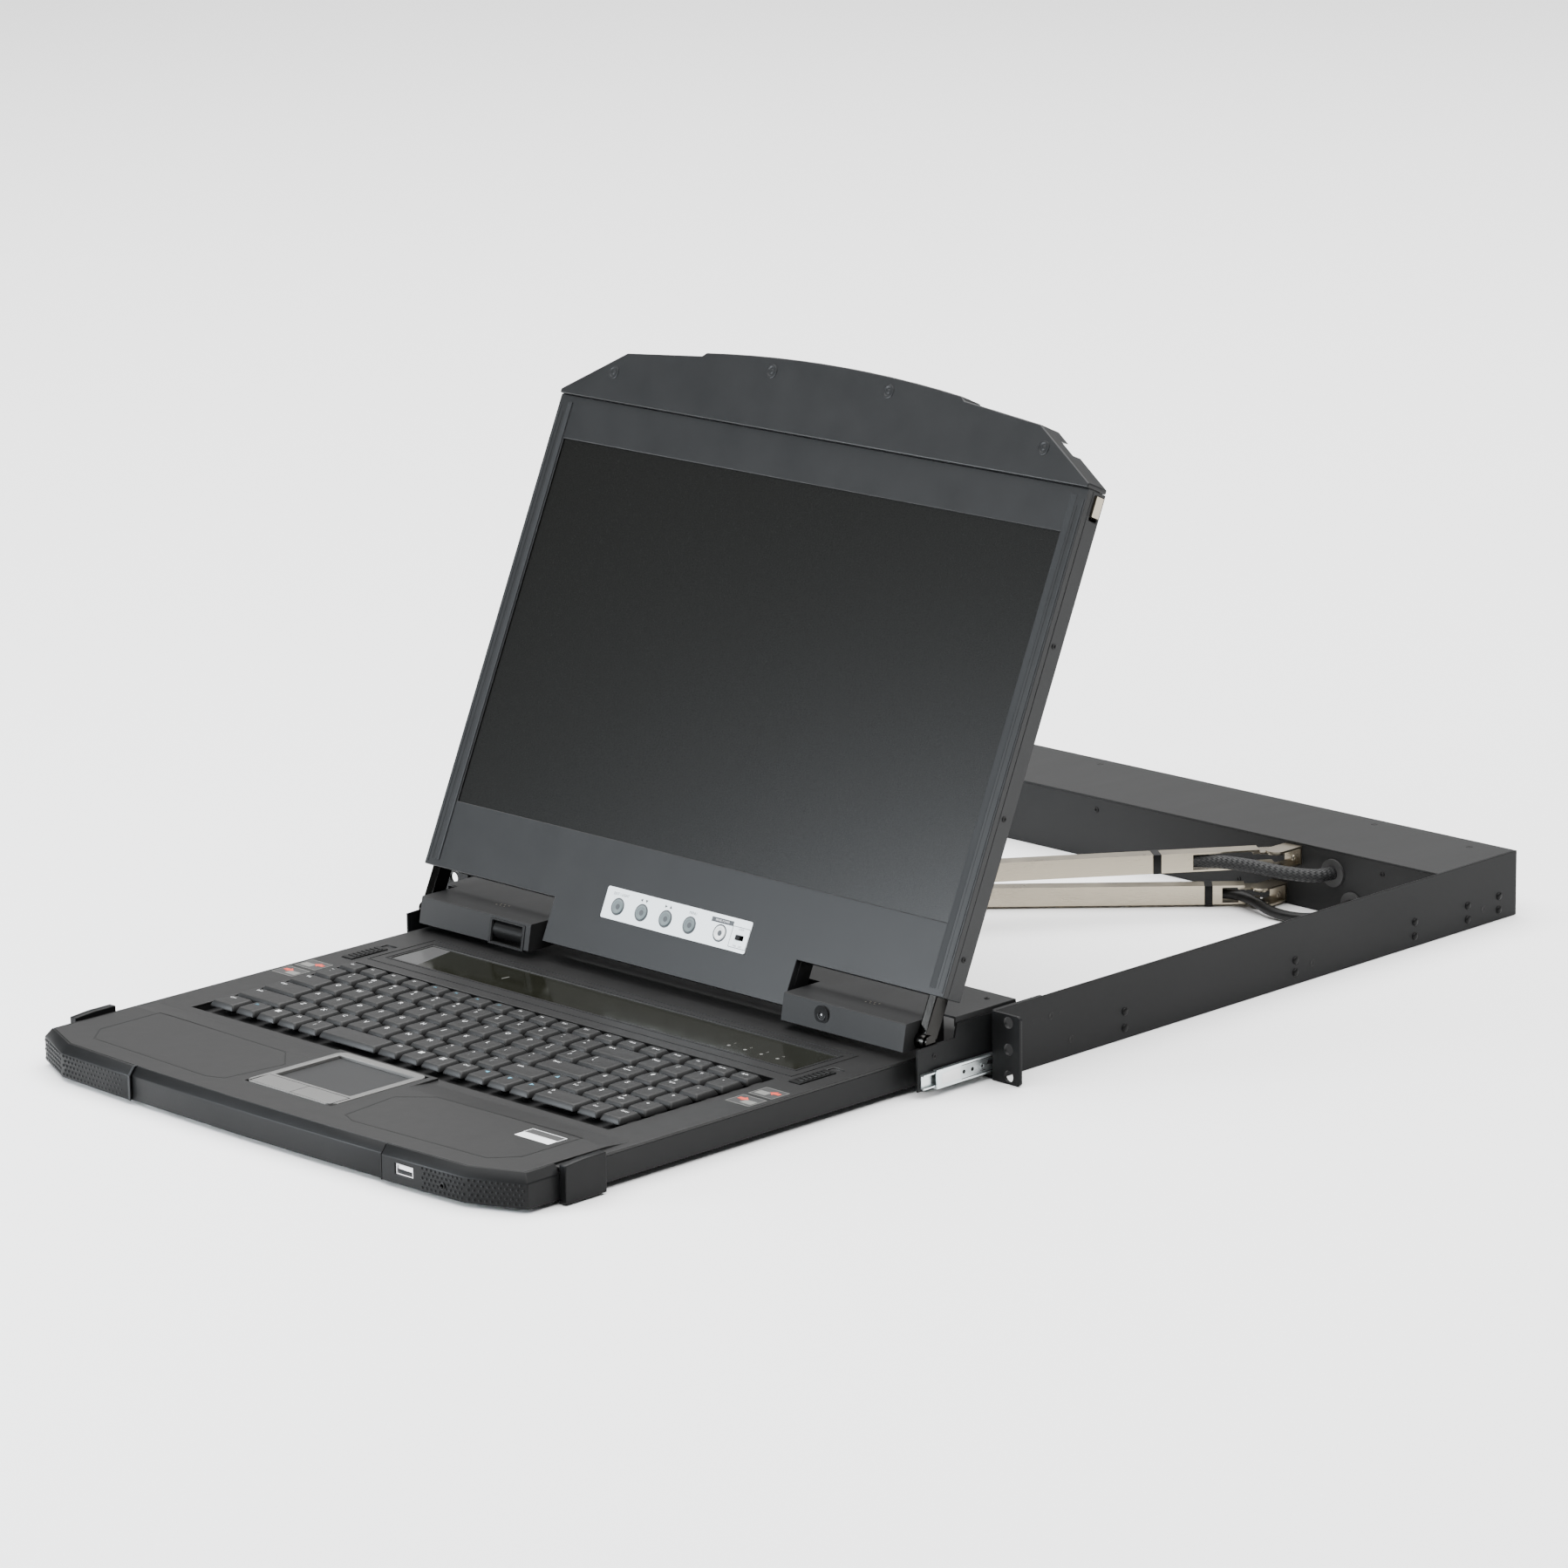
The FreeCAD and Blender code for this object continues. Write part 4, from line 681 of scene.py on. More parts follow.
def lay_cable(name, line, radius, slot, node, bodies):
    """A cable along a line in metres. Between two bodies it is left in place, attached to none; on one body it
    rides on it.
    """
    mesh = sleeve_mesh(line, radius * MM)
    mesh.name = name
    piece = bpy.data.objects.new(name, mesh)
    bpy.context.scene.collection.objects.link(piece)
    mesh.materials.append(looks[slot])
    mesh.shade_smooth()
    mesh.set_sharp_from_angle(angle=math.radians(50))
    if len(bodies) == 1:
        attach(piece, bodies[0])
    else:
        hangs = bodies[0] == "chassis"
        path = [tuple(point) for point in (reversed(line) if hangs else line)]
        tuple(path[0])
        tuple(path[-1])
        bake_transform(piece)
        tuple(path[0])
        length_of(line)
    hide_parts(node)
    return piece


rear_reach, front_reach, channel_offset = 238.0, 222.0, 7.6
elbow_run, far_end_lead, run_steps = 48.0, 11.0, 12


def arm_lines(root, elbow, far):
    """Points beside an arm's links, where its cable lies: functions of the distance along each."""
    def beside(start, end):
        way = (Vector(end) - Vector(start)).normalized()
        across = Vector((way.y, -way.x)) * channel_offset

        def point(distance):
            spot = Vector(start) + way * distance + across
            return spot.x, spot.y
        return point
    return beside(root, elbow), beside(elbow, far)


def corner_of(rear, front):
    """Where the two lines beside the links cross."""
    a, b = Vector(rear(0)), Vector(rear(1))
    c, d = Vector(front(0)), Vector(front(1))
    first, second = b - a, d - c
    share = (c - a).cross(second) / first.cross(second)
    crossing = a + first * share
    return crossing.x, crossing.y


def build_arm_cable(cable, arm, z, tail, tail_starts, tail_leaves, radii, slots, last_y):
    """One cable in three pieces: a tail behind the arm, a run in its rear link and one round its elbow."""
    root = joint_at(f"{arm}_arm_root").to_2d()
    elbow = joint_at(f"{arm}_arm_elbow").to_2d()
    far = Vector((root.x - (rear_reach - front_reach), far_pivot_y[arm]))
    rear, front = arm_lines(root, elbow, far)
    tail_line = along_route([(*rear(tail_starts), z), (*rear(tail_leaves), z)] + tail)
    lay_cable(f"{cable}_tail_sleeve", tail_line, radii[0], slots[0], f"{cable}_tail",
              ("chassis", f"{arm}_rear_link"))
    run_ends = rear_reach - elbow_run
    run = [Vector((*rear(tail_starts + (run_ends - tail_starts) * i / run_steps), z)) * MM
           for i in range(run_steps + 1)]
    lay_cable(f"{cable}_rear_sleeve", run, radii[0], slots[0], f"{cable}_rear_run",
              (f"{arm}_rear_link",))
    corner = Vector(corner_of(rear, front))
    turn_off = Vector(front(front_reach - far_end_lead))
    way = (turn_off - corner).normalized()
    after_corner = corner + way * (corner - Vector(rear(run_ends))).length
    before_turn = turn_off - way * abs(turn_off.y - last_y)
    route = [(*rear(run_ends), z), (*corner, z), (*after_corner, z), (*before_turn, z), (*turn_off, z),
             (turn_off.x, last_y, z)]
    lay_cable(f"{cable}_front_length", along_route(route), radii[1], slots[1],
              f"{cable}_front_run", (f"{arm}_rear_link", f"{arm}_front_link"))


far_pivot_y = {"upper": 5.5, "lower": 51.5}
video_tail = [(100.8, 356.0, 12.4), (119.5, 364.0, 9.5), (132.5, 376.5, 7.0), (137.0, 386.0, 6.0),
              (137.0, 402.0, 6.0)]
keyboard_tail = [(97.0, 366.3, -13.3), (117.0, 361.0, -16.5), (137.0, 364.5, -17.0),
                 (147.0, 372.0, -15.8), (152.0, 385.0, -11.5), (152.0, 402.0, -11.5)]
build_arm_cable("video_cable", "upper", 12.5, video_tail, 70.0, 46.0, (4.2, 3.2),
                ("braid", "cable_jacket"),
                node_box("carriage_cover")[0].y + 33.7)
build_arm_cable("keyboard_cable", "lower", -13.1, keyboard_tail, 42.0, 18.0, (3.2, 3.2),
                ("cable_jacket", "cable_jacket"),
                node_box("drawer_top")[1].y)


# ---- repeated pieces, grown by geometry nodes ----
class Grower:
    """A geometry node tree with named inputs, built node by node."""

    def __init__(self, name, numbers):
        self.tree = bpy.data.node_groups.new(name, "GeometryNodeTree")
        self.sockets = {}
        face = self.tree.interface
        face.new_socket("Geometry", in_out="INPUT", socket_type="NodeSocketGeometry")
        for label, (kind, value) in numbers.items():
            socket = face.new_socket(label, in_out="INPUT", socket_type="NodeSocket" + kind)
            if value is not None:
                socket.default_value = value
            self.sockets[label] = socket.identifier
        face.new_socket("Geometry", in_out="OUTPUT", socket_type="NodeSocketGeometry")
        self.given = self.tree.nodes.new("NodeGroupInput")
        self.result = self.tree.nodes.new("NodeGroupOutput")

    def value(self, label):
        return self.given.outputs[label]

    def add(self, kind, settings=None, inputs=None, out=0):
        node = self.tree.nodes.new(kind)
        for name, value in (settings or {}).items():
            setattr(node, name, value)
        for key, value in (inputs or {}).items():
            if isinstance(value, bpy.types.NodeSocket):
                self.tree.links.new(value, node.inputs[key])
            else:
                node.inputs[key].default_value = value
        return node.outputs[out]

    def maths(self, operation, first, second=0.0):
        return self.add("ShaderNodeMath", {"operation": operation}, {0: first, 1: second})

    def finish(self, instances):
        """Every tree ends in real geometry with its finish on it."""
        real = self.add("GeometryNodeRealizeInstances", None, {0: instances})
        painted = self.add("GeometryNodeSetMaterial", None, {0: real, "Material": self.value("Finish")})
        self.tree.links.new(painted, self.result.inputs[0])
        return self

    def grow(self, base=None, **given):
        """The tree's result as a plain mesh. Inputs are given by label, with underscores for spaces."""
        holder = bpy.data.objects.new("grower", base or bpy.data.meshes.new("grower"))
        bpy.context.scene.collection.objects.link(holder)
        modifier = holder.modifiers.new("grow", "NODES")
        modifier.node_group = self.tree
        for label, value in given.items():
            modifier[self.sockets[label.replace("_", " ")]] = value
        holder.update_tag()
        graph = bpy.context.evaluated_depsgraph_get()
        mesh = bpy.data.meshes.new_from_object(holder.evaluated_get(graph))
        holder.modifiers.remove(modifier)
        bpy.data.objects.remove(holder)
        return mesh


def stud_tree():
    """A field of low studs in the XY plane: rows and columns, every other row shifted by half a step."""
    grower = Grower("stud_field", {"Columns": ("Int", 8), "Rows": ("Int", 4), "Step": ("Float", 3.0),
                                   "Row Step": ("Float", 3.0), "Shift": ("Float", 0.5),
                                   "Radius": ("Float", 0.9), "Rise": ("Float", 0.3),
                                   "Finish": ("Material", None)})
    value = grower.value
    width = grower.maths("MULTIPLY", value("Step"), grower.maths("SUBTRACT", value("Columns"), 1.0))
    height = grower.maths("MULTIPLY", value("Row Step"), grower.maths("SUBTRACT", value("Rows"), 1.0))
    grid = grower.add("GeometryNodeMeshGrid", None, {"Size X": width, "Size Y": height,
                                                    "Vertices X": value("Columns"),
                                                    "Vertices Y": value("Rows")})
    row = grower.maths("MODULO", grower.add("GeometryNodeInputIndex"), value("Rows"))
    odd = grower.maths("MODULO", row, 2.0)
    shift = grower.maths("MULTIPLY", odd, grower.maths("MULTIPLY", value("Step"), value("Shift")))
    offset = grower.add("ShaderNodeCombineXYZ", None, {0: shift})
    moved = grower.add("GeometryNodeSetPosition", None, {0: grid, "Offset": offset})
    stud = grower.add("GeometryNodeMeshCone", {"fill_type": "NGON"},
                      {"Vertices": 8, "Radius Top": grower.maths("MULTIPLY", value("Radius"), 0.55),
                       "Radius Bottom": value("Radius"), "Depth": value("Rise")})
    return grower.finish(grower.add("GeometryNodeInstanceOnPoints", None,
                                    {"Points": moved, "Instance": stud}))


def fastener_tree():
    """One fastener at every vertex, facing the way of the attribute, each turned by chance."""
    grower = Grower("fasteners", {"Fastener": ("Object", None), "Scale": ("Float", 1.0), "Seed": ("Int", 5),
                                  "Finish": ("Material", None)})
    facing = grower.add("GeometryNodeInputNamedAttribute", {"data_type": "FLOAT_VECTOR"}, {"Name": "facing"})
    turn = grower.add("FunctionNodeRandomValue", None,
                      {2: 0.0, 3: math.tau, "Seed": grower.value("Seed")}, out=1)
    upright = grower.add("FunctionNodeAlignRotationToVector", {"axis": "Z"}, {"Vector": facing})
    spin = grower.add("FunctionNodeAxisAngleToRotation", None, {"Axis": (0.0, 0.0, 1.0), "Angle": turn})
    turned = grower.add("FunctionNodeRotateRotation", {"rotation_space": "LOCAL"}, {0: upright, 1: spin})
    shape = grower.add("GeometryNodeObjectInfo", None, {"Object": grower.value("Fastener")}, out="Geometry")
    return grower.finish(grower.add("GeometryNodeInstanceOnPoints", None,
                                    {"Points": grower.value("Geometry"), "Instance": shape,
                                     "Rotation": turned, "Scale": grower.value("Scale")}))


studs = stud_tree()
fasteners = fastener_tree()


def fastener_shape(name, profile, recess):
    """A fastener's head, standing on the XY plane; recess is its cross or socket."""
    bm = bmesh.new()
    add_turned(bm, (0, 0, 0), (0, 0, 1), profile, 16)
    outward(bm)
    if recess:
        arm, half, top, depth = recess
        cross = [(arm, half), (half, half), (half, arm), (-half, arm), (-half, half), (-arm, half),
                 (-arm, -half), (-half, -half), (-half, -arm), (half, -arm), (half, -half), (arm, -half)]
        floor = [bm.verts.new((x * 0.6, y * 0.6, top - depth)) for x, y in cross]
        rim = [bm.verts.new((x, y, top + 0.01)) for x, y in cross]
        bm.faces.new(floor)
        for i in range(len(cross)):
            j = (i + 1) % len(cross)
            bm.faces.new((rim[i], rim[j], floor[j], floor[i]))
    mesh = from_bmesh(bm)
    holder = bpy.data.objects.new(name, mesh)
    bpy.context.scene.collection.objects.link(holder)
    holder.hide_render = True
    return holder


def ring_head(radius, rise, bore, depth):
    """A pan head with a dished socket."""
    return [(radius, 0.0), (radius, rise * 0.45), (radius * 0.82, rise), (bore, rise),
            (bore * 0.8, rise - depth), (0, rise - depth)]


screw_head = fastener_shape("screw_head", ring_head(2.3, 0.7, 1.1, 0.55), None)
rivet_head = fastener_shape("rivet_head", [(2.6, 0.0), (2.5, 0.5), (1.9, 1.0), (1.0, 1.25), (0, 1.3)], None)
cover_plug = fastener_shape("cover_plug", [(4.3, 0.0), (4.3, 0.25), (3.9, 0.42), (3.1, 0.42), (2.8, 0.2),
                                           (1.5, 0.2), (1.2, 0.36), (0, 0.38)], None)
countersunk = fastener_shape("countersunk", [(2.8, 0.0), (2.7, 0.12), (2.3, 0.14), (1.2, 0.14), (0.8, 0.02),
                                             (0, 0.0)], None)


def fasten(name, kind, spots, body, slot, place=AS_IS, scale=1.0, look=None):
    """Fasteners at spots: each is a point and the way that it faces, in millimetres."""
    base = bpy.data.meshes.new("spots")
    base.from_pydata([point for point, facing in spots], [], [])
    facing = base.attributes.new("facing", "FLOAT_VECTOR", "POINT")
    for entry, (point, way) in zip(facing.data, spots):
        entry.vector = way
    mesh = fasteners.grow(base, Fastener=kind, Scale=scale, Seed=5, Finish=looks[look or slot])
    return finish(name, mesh, body, slot, place, smooth=40)


def both_sides(spots):
    return spots + [((-x, y, z), (-a, b, c)) for (x, y, z), (a, b, c) in spots]


merge_distance, coplanar_angle = 0.001, 0.8
largest_rounded_face = 1500.0
shortest_edge_in_widths = 2.2


def softened(node, width, body, slot, sharp=25.0, smooth=35.0, segments=2, shortest=0.0):
    """A solid's own shape with its hard edges rounded; it stands for the solid."""
    bm = bmesh.new()
    bm.from_mesh(frame["nodes"][node].data)
    bmesh.ops.scale(bm, vec=(1 / MM,) * 3, verts=bm.verts)
    bmesh.ops.remove_doubles(bm, verts=bm.verts, dist=merge_distance)
    bmesh.ops.dissolve_limit(bm, angle_limit=math.radians(coplanar_angle), verts=bm.verts, edges=bm.edges)
    for face in bm.faces:
        face.smooth = face.calc_area() < largest_rounded_face and any(
            1.0 < math.degrees(edge.calc_face_angle(0)) < sharp for edge in face.edges)
    edges = [edge for edge in bm.edges if edge.is_manifold
             and edge.calc_face_angle(0) > math.radians(sharp)
             and edge.calc_length() > max(shortest_edge_in_widths * width, shortest)]
    rounded = bmesh.ops.bevel(bm, geom=edges, offset=width, segments=segments, profile=0.5, affect="EDGES",
                              clamp_overlap=False, loop_slide=True)
    for face in rounded["faces"]:
        face.smooth = True
    bmesh.ops.triangulate(bm, faces=[face for face in bm.faces if len(face.verts) > 4])
    mesh = from_bmesh(bm)
    flat = [polygon.index for polygon in mesh.polygons if not polygon.use_smooth]
    piece = finish(f"{node}_finished", mesh, body, slot, smooth=smooth, stands_for=(node,))
    for index in flat:
        piece.data.polygons[index].use_smooth = False
    return piece


# ---- lid ----
lid_front = -5.3
handle_front = -7.3
lid_half = node_box("lcd_bezel")[1].x
button_v, print_v, lock_u = 29.6, 36.9, 53.2
lid_depth = 15.0
pressing_height, pressing_middle = 262.0, 183.0


def build_lid():
    softened("lcd_handle", 0.7, "lcd_lid", "lid_plastic", segments=3)
    softened("lcd_bezel", 0.35, "lcd_lid", "lid_plastic")
    softened("lcd_back_shell", 0.5, "lcd_lid", "lid_plastic")
    softened("hinge_arms", 1.0, "lcd_lid", "chrome", segments=3)
    for slot_place in frame["nodes"]["lcd_latches"].material_slots:
        slot_place.material = looks["nickel"]

    # The side strips and thin rails beside the screen take the lighter side_strip tone: a painted highlight.
    bm = bmesh.new()
    for side in (1, -1):
        strip = [(side * 205.4, lid_front + 0.1), (side * 205.7, lid_front - 0.75),
                 (side * 206.4, lid_front - 0.85), (side * 209.8, lid_front - 0.1),
                 (side * 209.8, lid_front + 0.1)]
        add_outline(bm, [(u, n, 30.0) for u, n in strip], (0, 0, 290.0))
        rail = [(side * 214.6, lid_front + 0.1), (side * 214.8, lid_front - 0.35),
                (side * 215.9, lid_front - 0.35), (side * 216.1, lid_front + 0.1)]
        add_outline(bm, [(u, n, 28.0) for u, n in rail], (0, 0, 290.0))
    finish("lid_side_strips", closed(bm), "lcd_lid", "lid_plastic", LEANED, smooth=20, look="side_strip")

    bm = bmesh.new()
    for side in (1, -1):
        add_block(bm, *sorted((side * 211.6, side * 212.0)), lid_front - 0.03, lid_front + 0.05, 30.0, 314.0)
    add_block(bm, -lid_half + 0.4, lid_half - 0.4, lid_front + 0.6, lid_front + 10.0, 324.25, 324.75)
    finish("lid_seam_shadows", closed(bm), "lcd_lid", "switch_dark", LEANED)

    fasten("handle_plugs", cover_plug, [((u, handle_front, v), FORWARDS) for u, v in
                                        ((-177, 342.6), (-48, 359.5), (48, 359.5), (177, 342.6))],
           "lcd_lid", "lid_plastic", LEANED, look="handle_plug")
    sides = both_sides([((lid_half, 2.6, v), OUTWARDS) for v in (49.7, 132.1, 233.6)])
    fasten("lid_side_screws", screw_head, sides, "lcd_lid", "switch_dark", LEANED, 0.75)
    build_lid_back()
    build_plate()


def build_lid_back():
    """The stamped panel and screws on the lid's rear face."""
    rear = lid_front + lid_depth
    bm = bmesh.new()
    for inset, rise in ((16.0, 0.35), (24.0, 0.0)):
        outer = rounded_rectangle(2 * (lid_half - inset), pressing_height - 2 * inset, 12.0)
        inner = rounded_rectangle(2 * (lid_half - inset - 1.6), pressing_height - 2 * inset - 3.2, 10.6)
        rings = [[bm.verts.new((x, rear + height, pressing_middle + z)) for x, z in points]
                 for points, height in ((outer, -0.05), (outer, 0.3 + rise),
                                        (inner, 0.3 + rise), (inner, -0.05))]
        bridge(bm, rings)
    finish("lid_back_pressing", closed(bm), "lcd_lid", "lid_plastic", LEANED, smooth=30)
    fasten("lid_back_screws", screw_head, [((u, rear, v), BACKWARDS) for u in (-205, -70, 70, 205)
                                           for v in (46.0, 317.0)],
           "lcd_lid", "switch_dark", LEANED)


def build_plate():
    """The control plate's printing and its round buttons."""
    softened("osd_plate", 0.25, "lcd_lid", "silver_plate")
    above = lid_front - 0.06
    bm = bmesh.new()
    for words, u in (("EXIT / LIGHT", -48.7), ("MENU", 11.7)):
        add_words(bm, words, 2.3, at(u + 0.6, above, print_v, ON_LID))
    for u, pair in ((-28.7, ((-2.0, 180), (2.0, 270))), (-8.4, ((-2.0, 0), (2.0, 90)))):
        for shift, heading in pair:
            add_flat(bm, ((u + shift + x, above, print_v + z) for x, z in arrowhead(1.2, heading, 125)))
    add_words(bm, "LOCK", 1.6, at(lock_u, above, 34.6, ON_LID))
    add_words(bm, "ON    OFF", 1.5, at(lock_u, above, 24.5, ON_LID))
    frame_outer = rounded_rectangle(14.4, 12.6, 0.6, 2)
    frame_inner = rounded_rectangle(13.8, 12.0, 0.5, 2)
    rings = [[bm.verts.new((lock_u + x, above, button_v + z)) for x, z in points]
             for points in (frame_outer, frame_inner)]
    bridge(bm, rings)
    bar = [(28.0, 35.4), (46.0, 35.4), (46.0, 38.2), (28.0, 38.2)]
    add_flat(bm, ((u, above, v) for u, v in bar))
    finish("plate_printing", printed(bm, FORWARDS), "lcd_lid", "switch_dark", LEANED, look="legend_dark")
    bm = bmesh.new()
    add_words(bm, "PANEL POWER", 1.7, at(37.0, above - 0.05, 36.8, ON_LID))
    finish("plate_bar_words", from_bmesh(bm), "lcd_lid", "silver_plate", LEANED, look="legend_white")

    buttons = (("osd_button_exit", "osd_exit", -48.7, "button_grey"),
               ("osd_button_down", "osd_down", -28.7, "button_grey"),
               ("osd_button_up", "osd_up", -8.4, "button_grey"),
               ("osd_button_menu", "osd_menu", 11.7, "button_grey"),
               ("panel_power_button", "panel_power", 37.0, "button_white"))
    profile = [(4.4, 4.6), (4.4, 0.5), (4.25, 0.2), (3.9, 0.02), (3.5, 0.0), (3.1, 0.12), (2.6, 0.42),
               (1.6, 0.6), (0.7, 0.66), (0, 0.67)]
    wells = bmesh.new()
    for node, body, u, slot in buttons:
        finish(f"{node}_cap", turned_mesh((u, lid_front - 0.6, button_v), profile, 32), body, slot, LEANED,
               smooth=40, stands_for=(node,))
        add_turned(wells, (u, lid_front, button_v), BACKWARDS,
                   [(4.62, -0.02), (5.3, -0.06), (5.35, 0.02), (4.62, 0.04)], 32)
    finish("button_wells", closed(wells), "lcd_lid", "switch_dark", LEANED, smooth=40, look="legend_dark")


# ---- carriage ----
pod_lean = math.atan2(3.0, 16.2)
jack_centre = (138.0, -0.75, 9.4)
rocker_x, rocker_z = -126.0, 7.2
POD_FACE = Matrix.Translation((0, -57.5, 4.3)) @ Matrix.Rotation(-pod_lean, 4, "X")


def build_carriage():
    softened("carriage_cover", 0.45, "lcd_carriage", "cover_paint", shortest=40.0)
    softened("pod_rocker_switch", 0.4, "pod_rocker", "switch_dark")

    bm = bmesh.new()
    outer, inner = rounded_rectangle(31.0, 15.8, 0.8, 3), rounded_rectangle(26.2, 13.2, 0.5, 3)
    rings = [[bm.verts.new((rocker_x + x * s, depth, rocker_z + z * s)) for x, z in points]
             for points, depth, s in ((outer, 0.05, 1.0), (outer, -0.5, 0.99),
                                      (inner, -0.5, 1.02), (inner, 0.9, 1.0))]
    bridge(bm, rings)
    finish("rocker_surround", closed(bm), "lcd_carriage", "switch_dark", POD_FACE, smooth=30)

    for name, slot, segments, profile in (
            ("ring", "switch_dark", 28, [(3.5, 0.25), (3.5, 0.0), (3.2, -0.12), (2.4, -0.12), (2.1, 0.1),
                                         (2.1, 1.4), (1.8, 1.4)]),
            ("well", "socket_black", 28, [(2.08, 1.2), (2.08, 1.0), (0.0, 1.0)]),
            ("pin", "socket_metal", 16, [(0.55, 1.1), (0.55, 0.3), (0.35, 0.1), (0.0, 0.1)])):
        finish(f"jack_{name}", turned_mesh(jack_centre, profile, segments), "lcd_carriage", slot, POD_FACE,
               smooth=40)

    fasten("cover_screws", screw_head, both_sides([((201.0, 14.0, 20.5), UP)]), "lcd_carriage",
           "switch_dark", scale=0.7)
    dots = studs.grow(Columns=3, Rows=2, Step=3.4, Row_Step=2.4, Shift=0.5, Radius=0.62, Rise=0.12,
                      Finish=looks["nickel"])
    for name, x in (("left", -152.0), ("right", 158.0)):
        finish(f"pod_marks_{name}", dots.copy(), "lcd_carriage", "nickel",
               at(x, -36.0, 20.5))
    for name, side in (("right", 1), ("left", -1)):
        fasten(f"carriage_side_screws_{name}", screw_head,
               [((side * 214.6, y, z), (float(side), 0.0, 0.0)) for y, z in ((-44.0, 2.0), (18.0, 4.0))],
               "lcd_carriage", "switch_dark", scale=0.7)


# ---- slides ----
def build_slide_ends():
    """The rolled lips, white insert, stampings and stop at the end of each of the lid's slides."""
    (_, front, low), (web, _, high) = node_box("lcd_slide_middle")
    middle = (low + high) / 2
    for name, side in (("right", 1), ("left", -1)):
        surface = side * web

        def raised(bm, height, y0, y1, z0, z1, ease=0.0):
            add_block(bm, *sorted((surface, side * (web + height))), front + y0, front + y1, z0, z1, ease)

        def stamped(bm, y, profile):
            add_turned(bm, (surface, front + y, middle), (side, 0, 0), profile, 20)

        bm = bmesh.new()
        raised(bm, 0.12, 4.0, 19.0, middle - 3.1, middle + 3.1, 0.05)
        finish(f"slide_insert_{name}", closed(bm), "lcd_slide_middles", "button_white", smooth=40,
               look="slide_insert")
        bm = bmesh.new()
        for z in (low + 0.75, high - 0.75):
            raised(bm, 0.1, 0.4, 248.0, z - 0.55, z + 0.55, 0.04)
        for y, radius in ((22.0, 2.1), (29.0, 2.1), (37.0, 1.7)):
            stamped(bm, y, [(radius, 0.0), (radius, 0.09), (radius - 0.4, 0.11), (radius - 0.7, 0.11),
                            (radius - 0.8, 0.02)])
        finish(f"slide_lips_{name}", closed(bm), "lcd_slide_middles", "zinc", smooth=40)
        bm = bmesh.new()
        for y, radius in ((22.0, 1.2), (29.0, 1.2), (37.0, 0.8)):
            stamped(bm, y, [(radius, -0.01), (radius, 0.05), (0, 0.06)])
        stop = ((42.0, 2.4), (56.0, -0.6), (56.0, -2.4), (41.0, 0.4))
        add_outline(bm, [(surface, front + y, middle + z) for y, z in stop], (side * 0.1, 0, 0))
        for z in (low + 1.5, high - 1.5):
            raised(bm, 0.04, 20.0, 246.0, z - 0.16, z + 0.16)
        finish(f"slide_shadows_{name}", closed(bm), "lcd_slide_middles", "switch_dark", smooth=40)


# ---- chassis ----
side_x = 221.0


def build_chassis():
    for side_node in ("side_plate_right", "side_plate_left"):
        softened(side_node, 0.3, "chassis", "housing_paint")
    softened("electronics_box_cover", 0.35, "chassis", "cover_paint")
    softened("electronics_box", 0.3, "chassis", "cover_paint")
    rivets = [(109.0, -4.0), (109.0, -14.0), (260.6, -5.5), (260.6, -13.0), (372.0, -5.0), (372.0, -14.0),
              (453.0, -5.3), (453.0, -14.0), (422.7, -5.3), (422.7, -14.0)]
    screws = [(46.0, 7.2), (63.0, -10.2), (276.0, -10.3), (437.7, -10.5)]
    marks = [(38.5, 7.0), (54.0, 7.2), (31.0, 7.1)]
    # The slide rivets take the darker painted_rivet: painted shade on their heads.
    for name, kind, spots, slot, scale, look in (
            ("slide_rivets", rivet_head, rivets, "housing_paint", 0.95, "painted_rivet"),
            ("side_screws", countersunk, screws, "switch_dark", 0.8, None),
            ("side_marks", countersunk, marks, "switch_dark", 0.38, None)):
        fasten(name, kind, both_sides([((side_x, y, z), OUTWARDS) for y, z in spots]), "chassis", slot,
               scale=scale, look=look)
    top = node_box("electronics_box_cover")[1].z
    fasten("box_screws", countersunk, [((x, y, top), UP) for x, y in
                                       ((-193.9, 457.0), (-115.6, 460.0), (115.6, 460.0), (193.9, 457.0))],
           "chassis", "switch_dark", scale=0.8)
    front_wall = node_box("electronics_box")[0].y
    fasten("box_front_screws", screw_head, [((x, front_wall, z), FORWARDS) for x, z in
                                            ((-205.0, 10.0), (-60.0, 12.0), (60.0, -12.0), (206.0, 8.0),
                                             (176.0, 12.0))],
           "chassis", "switch_dark", scale=0.8)
    build_box_rear()


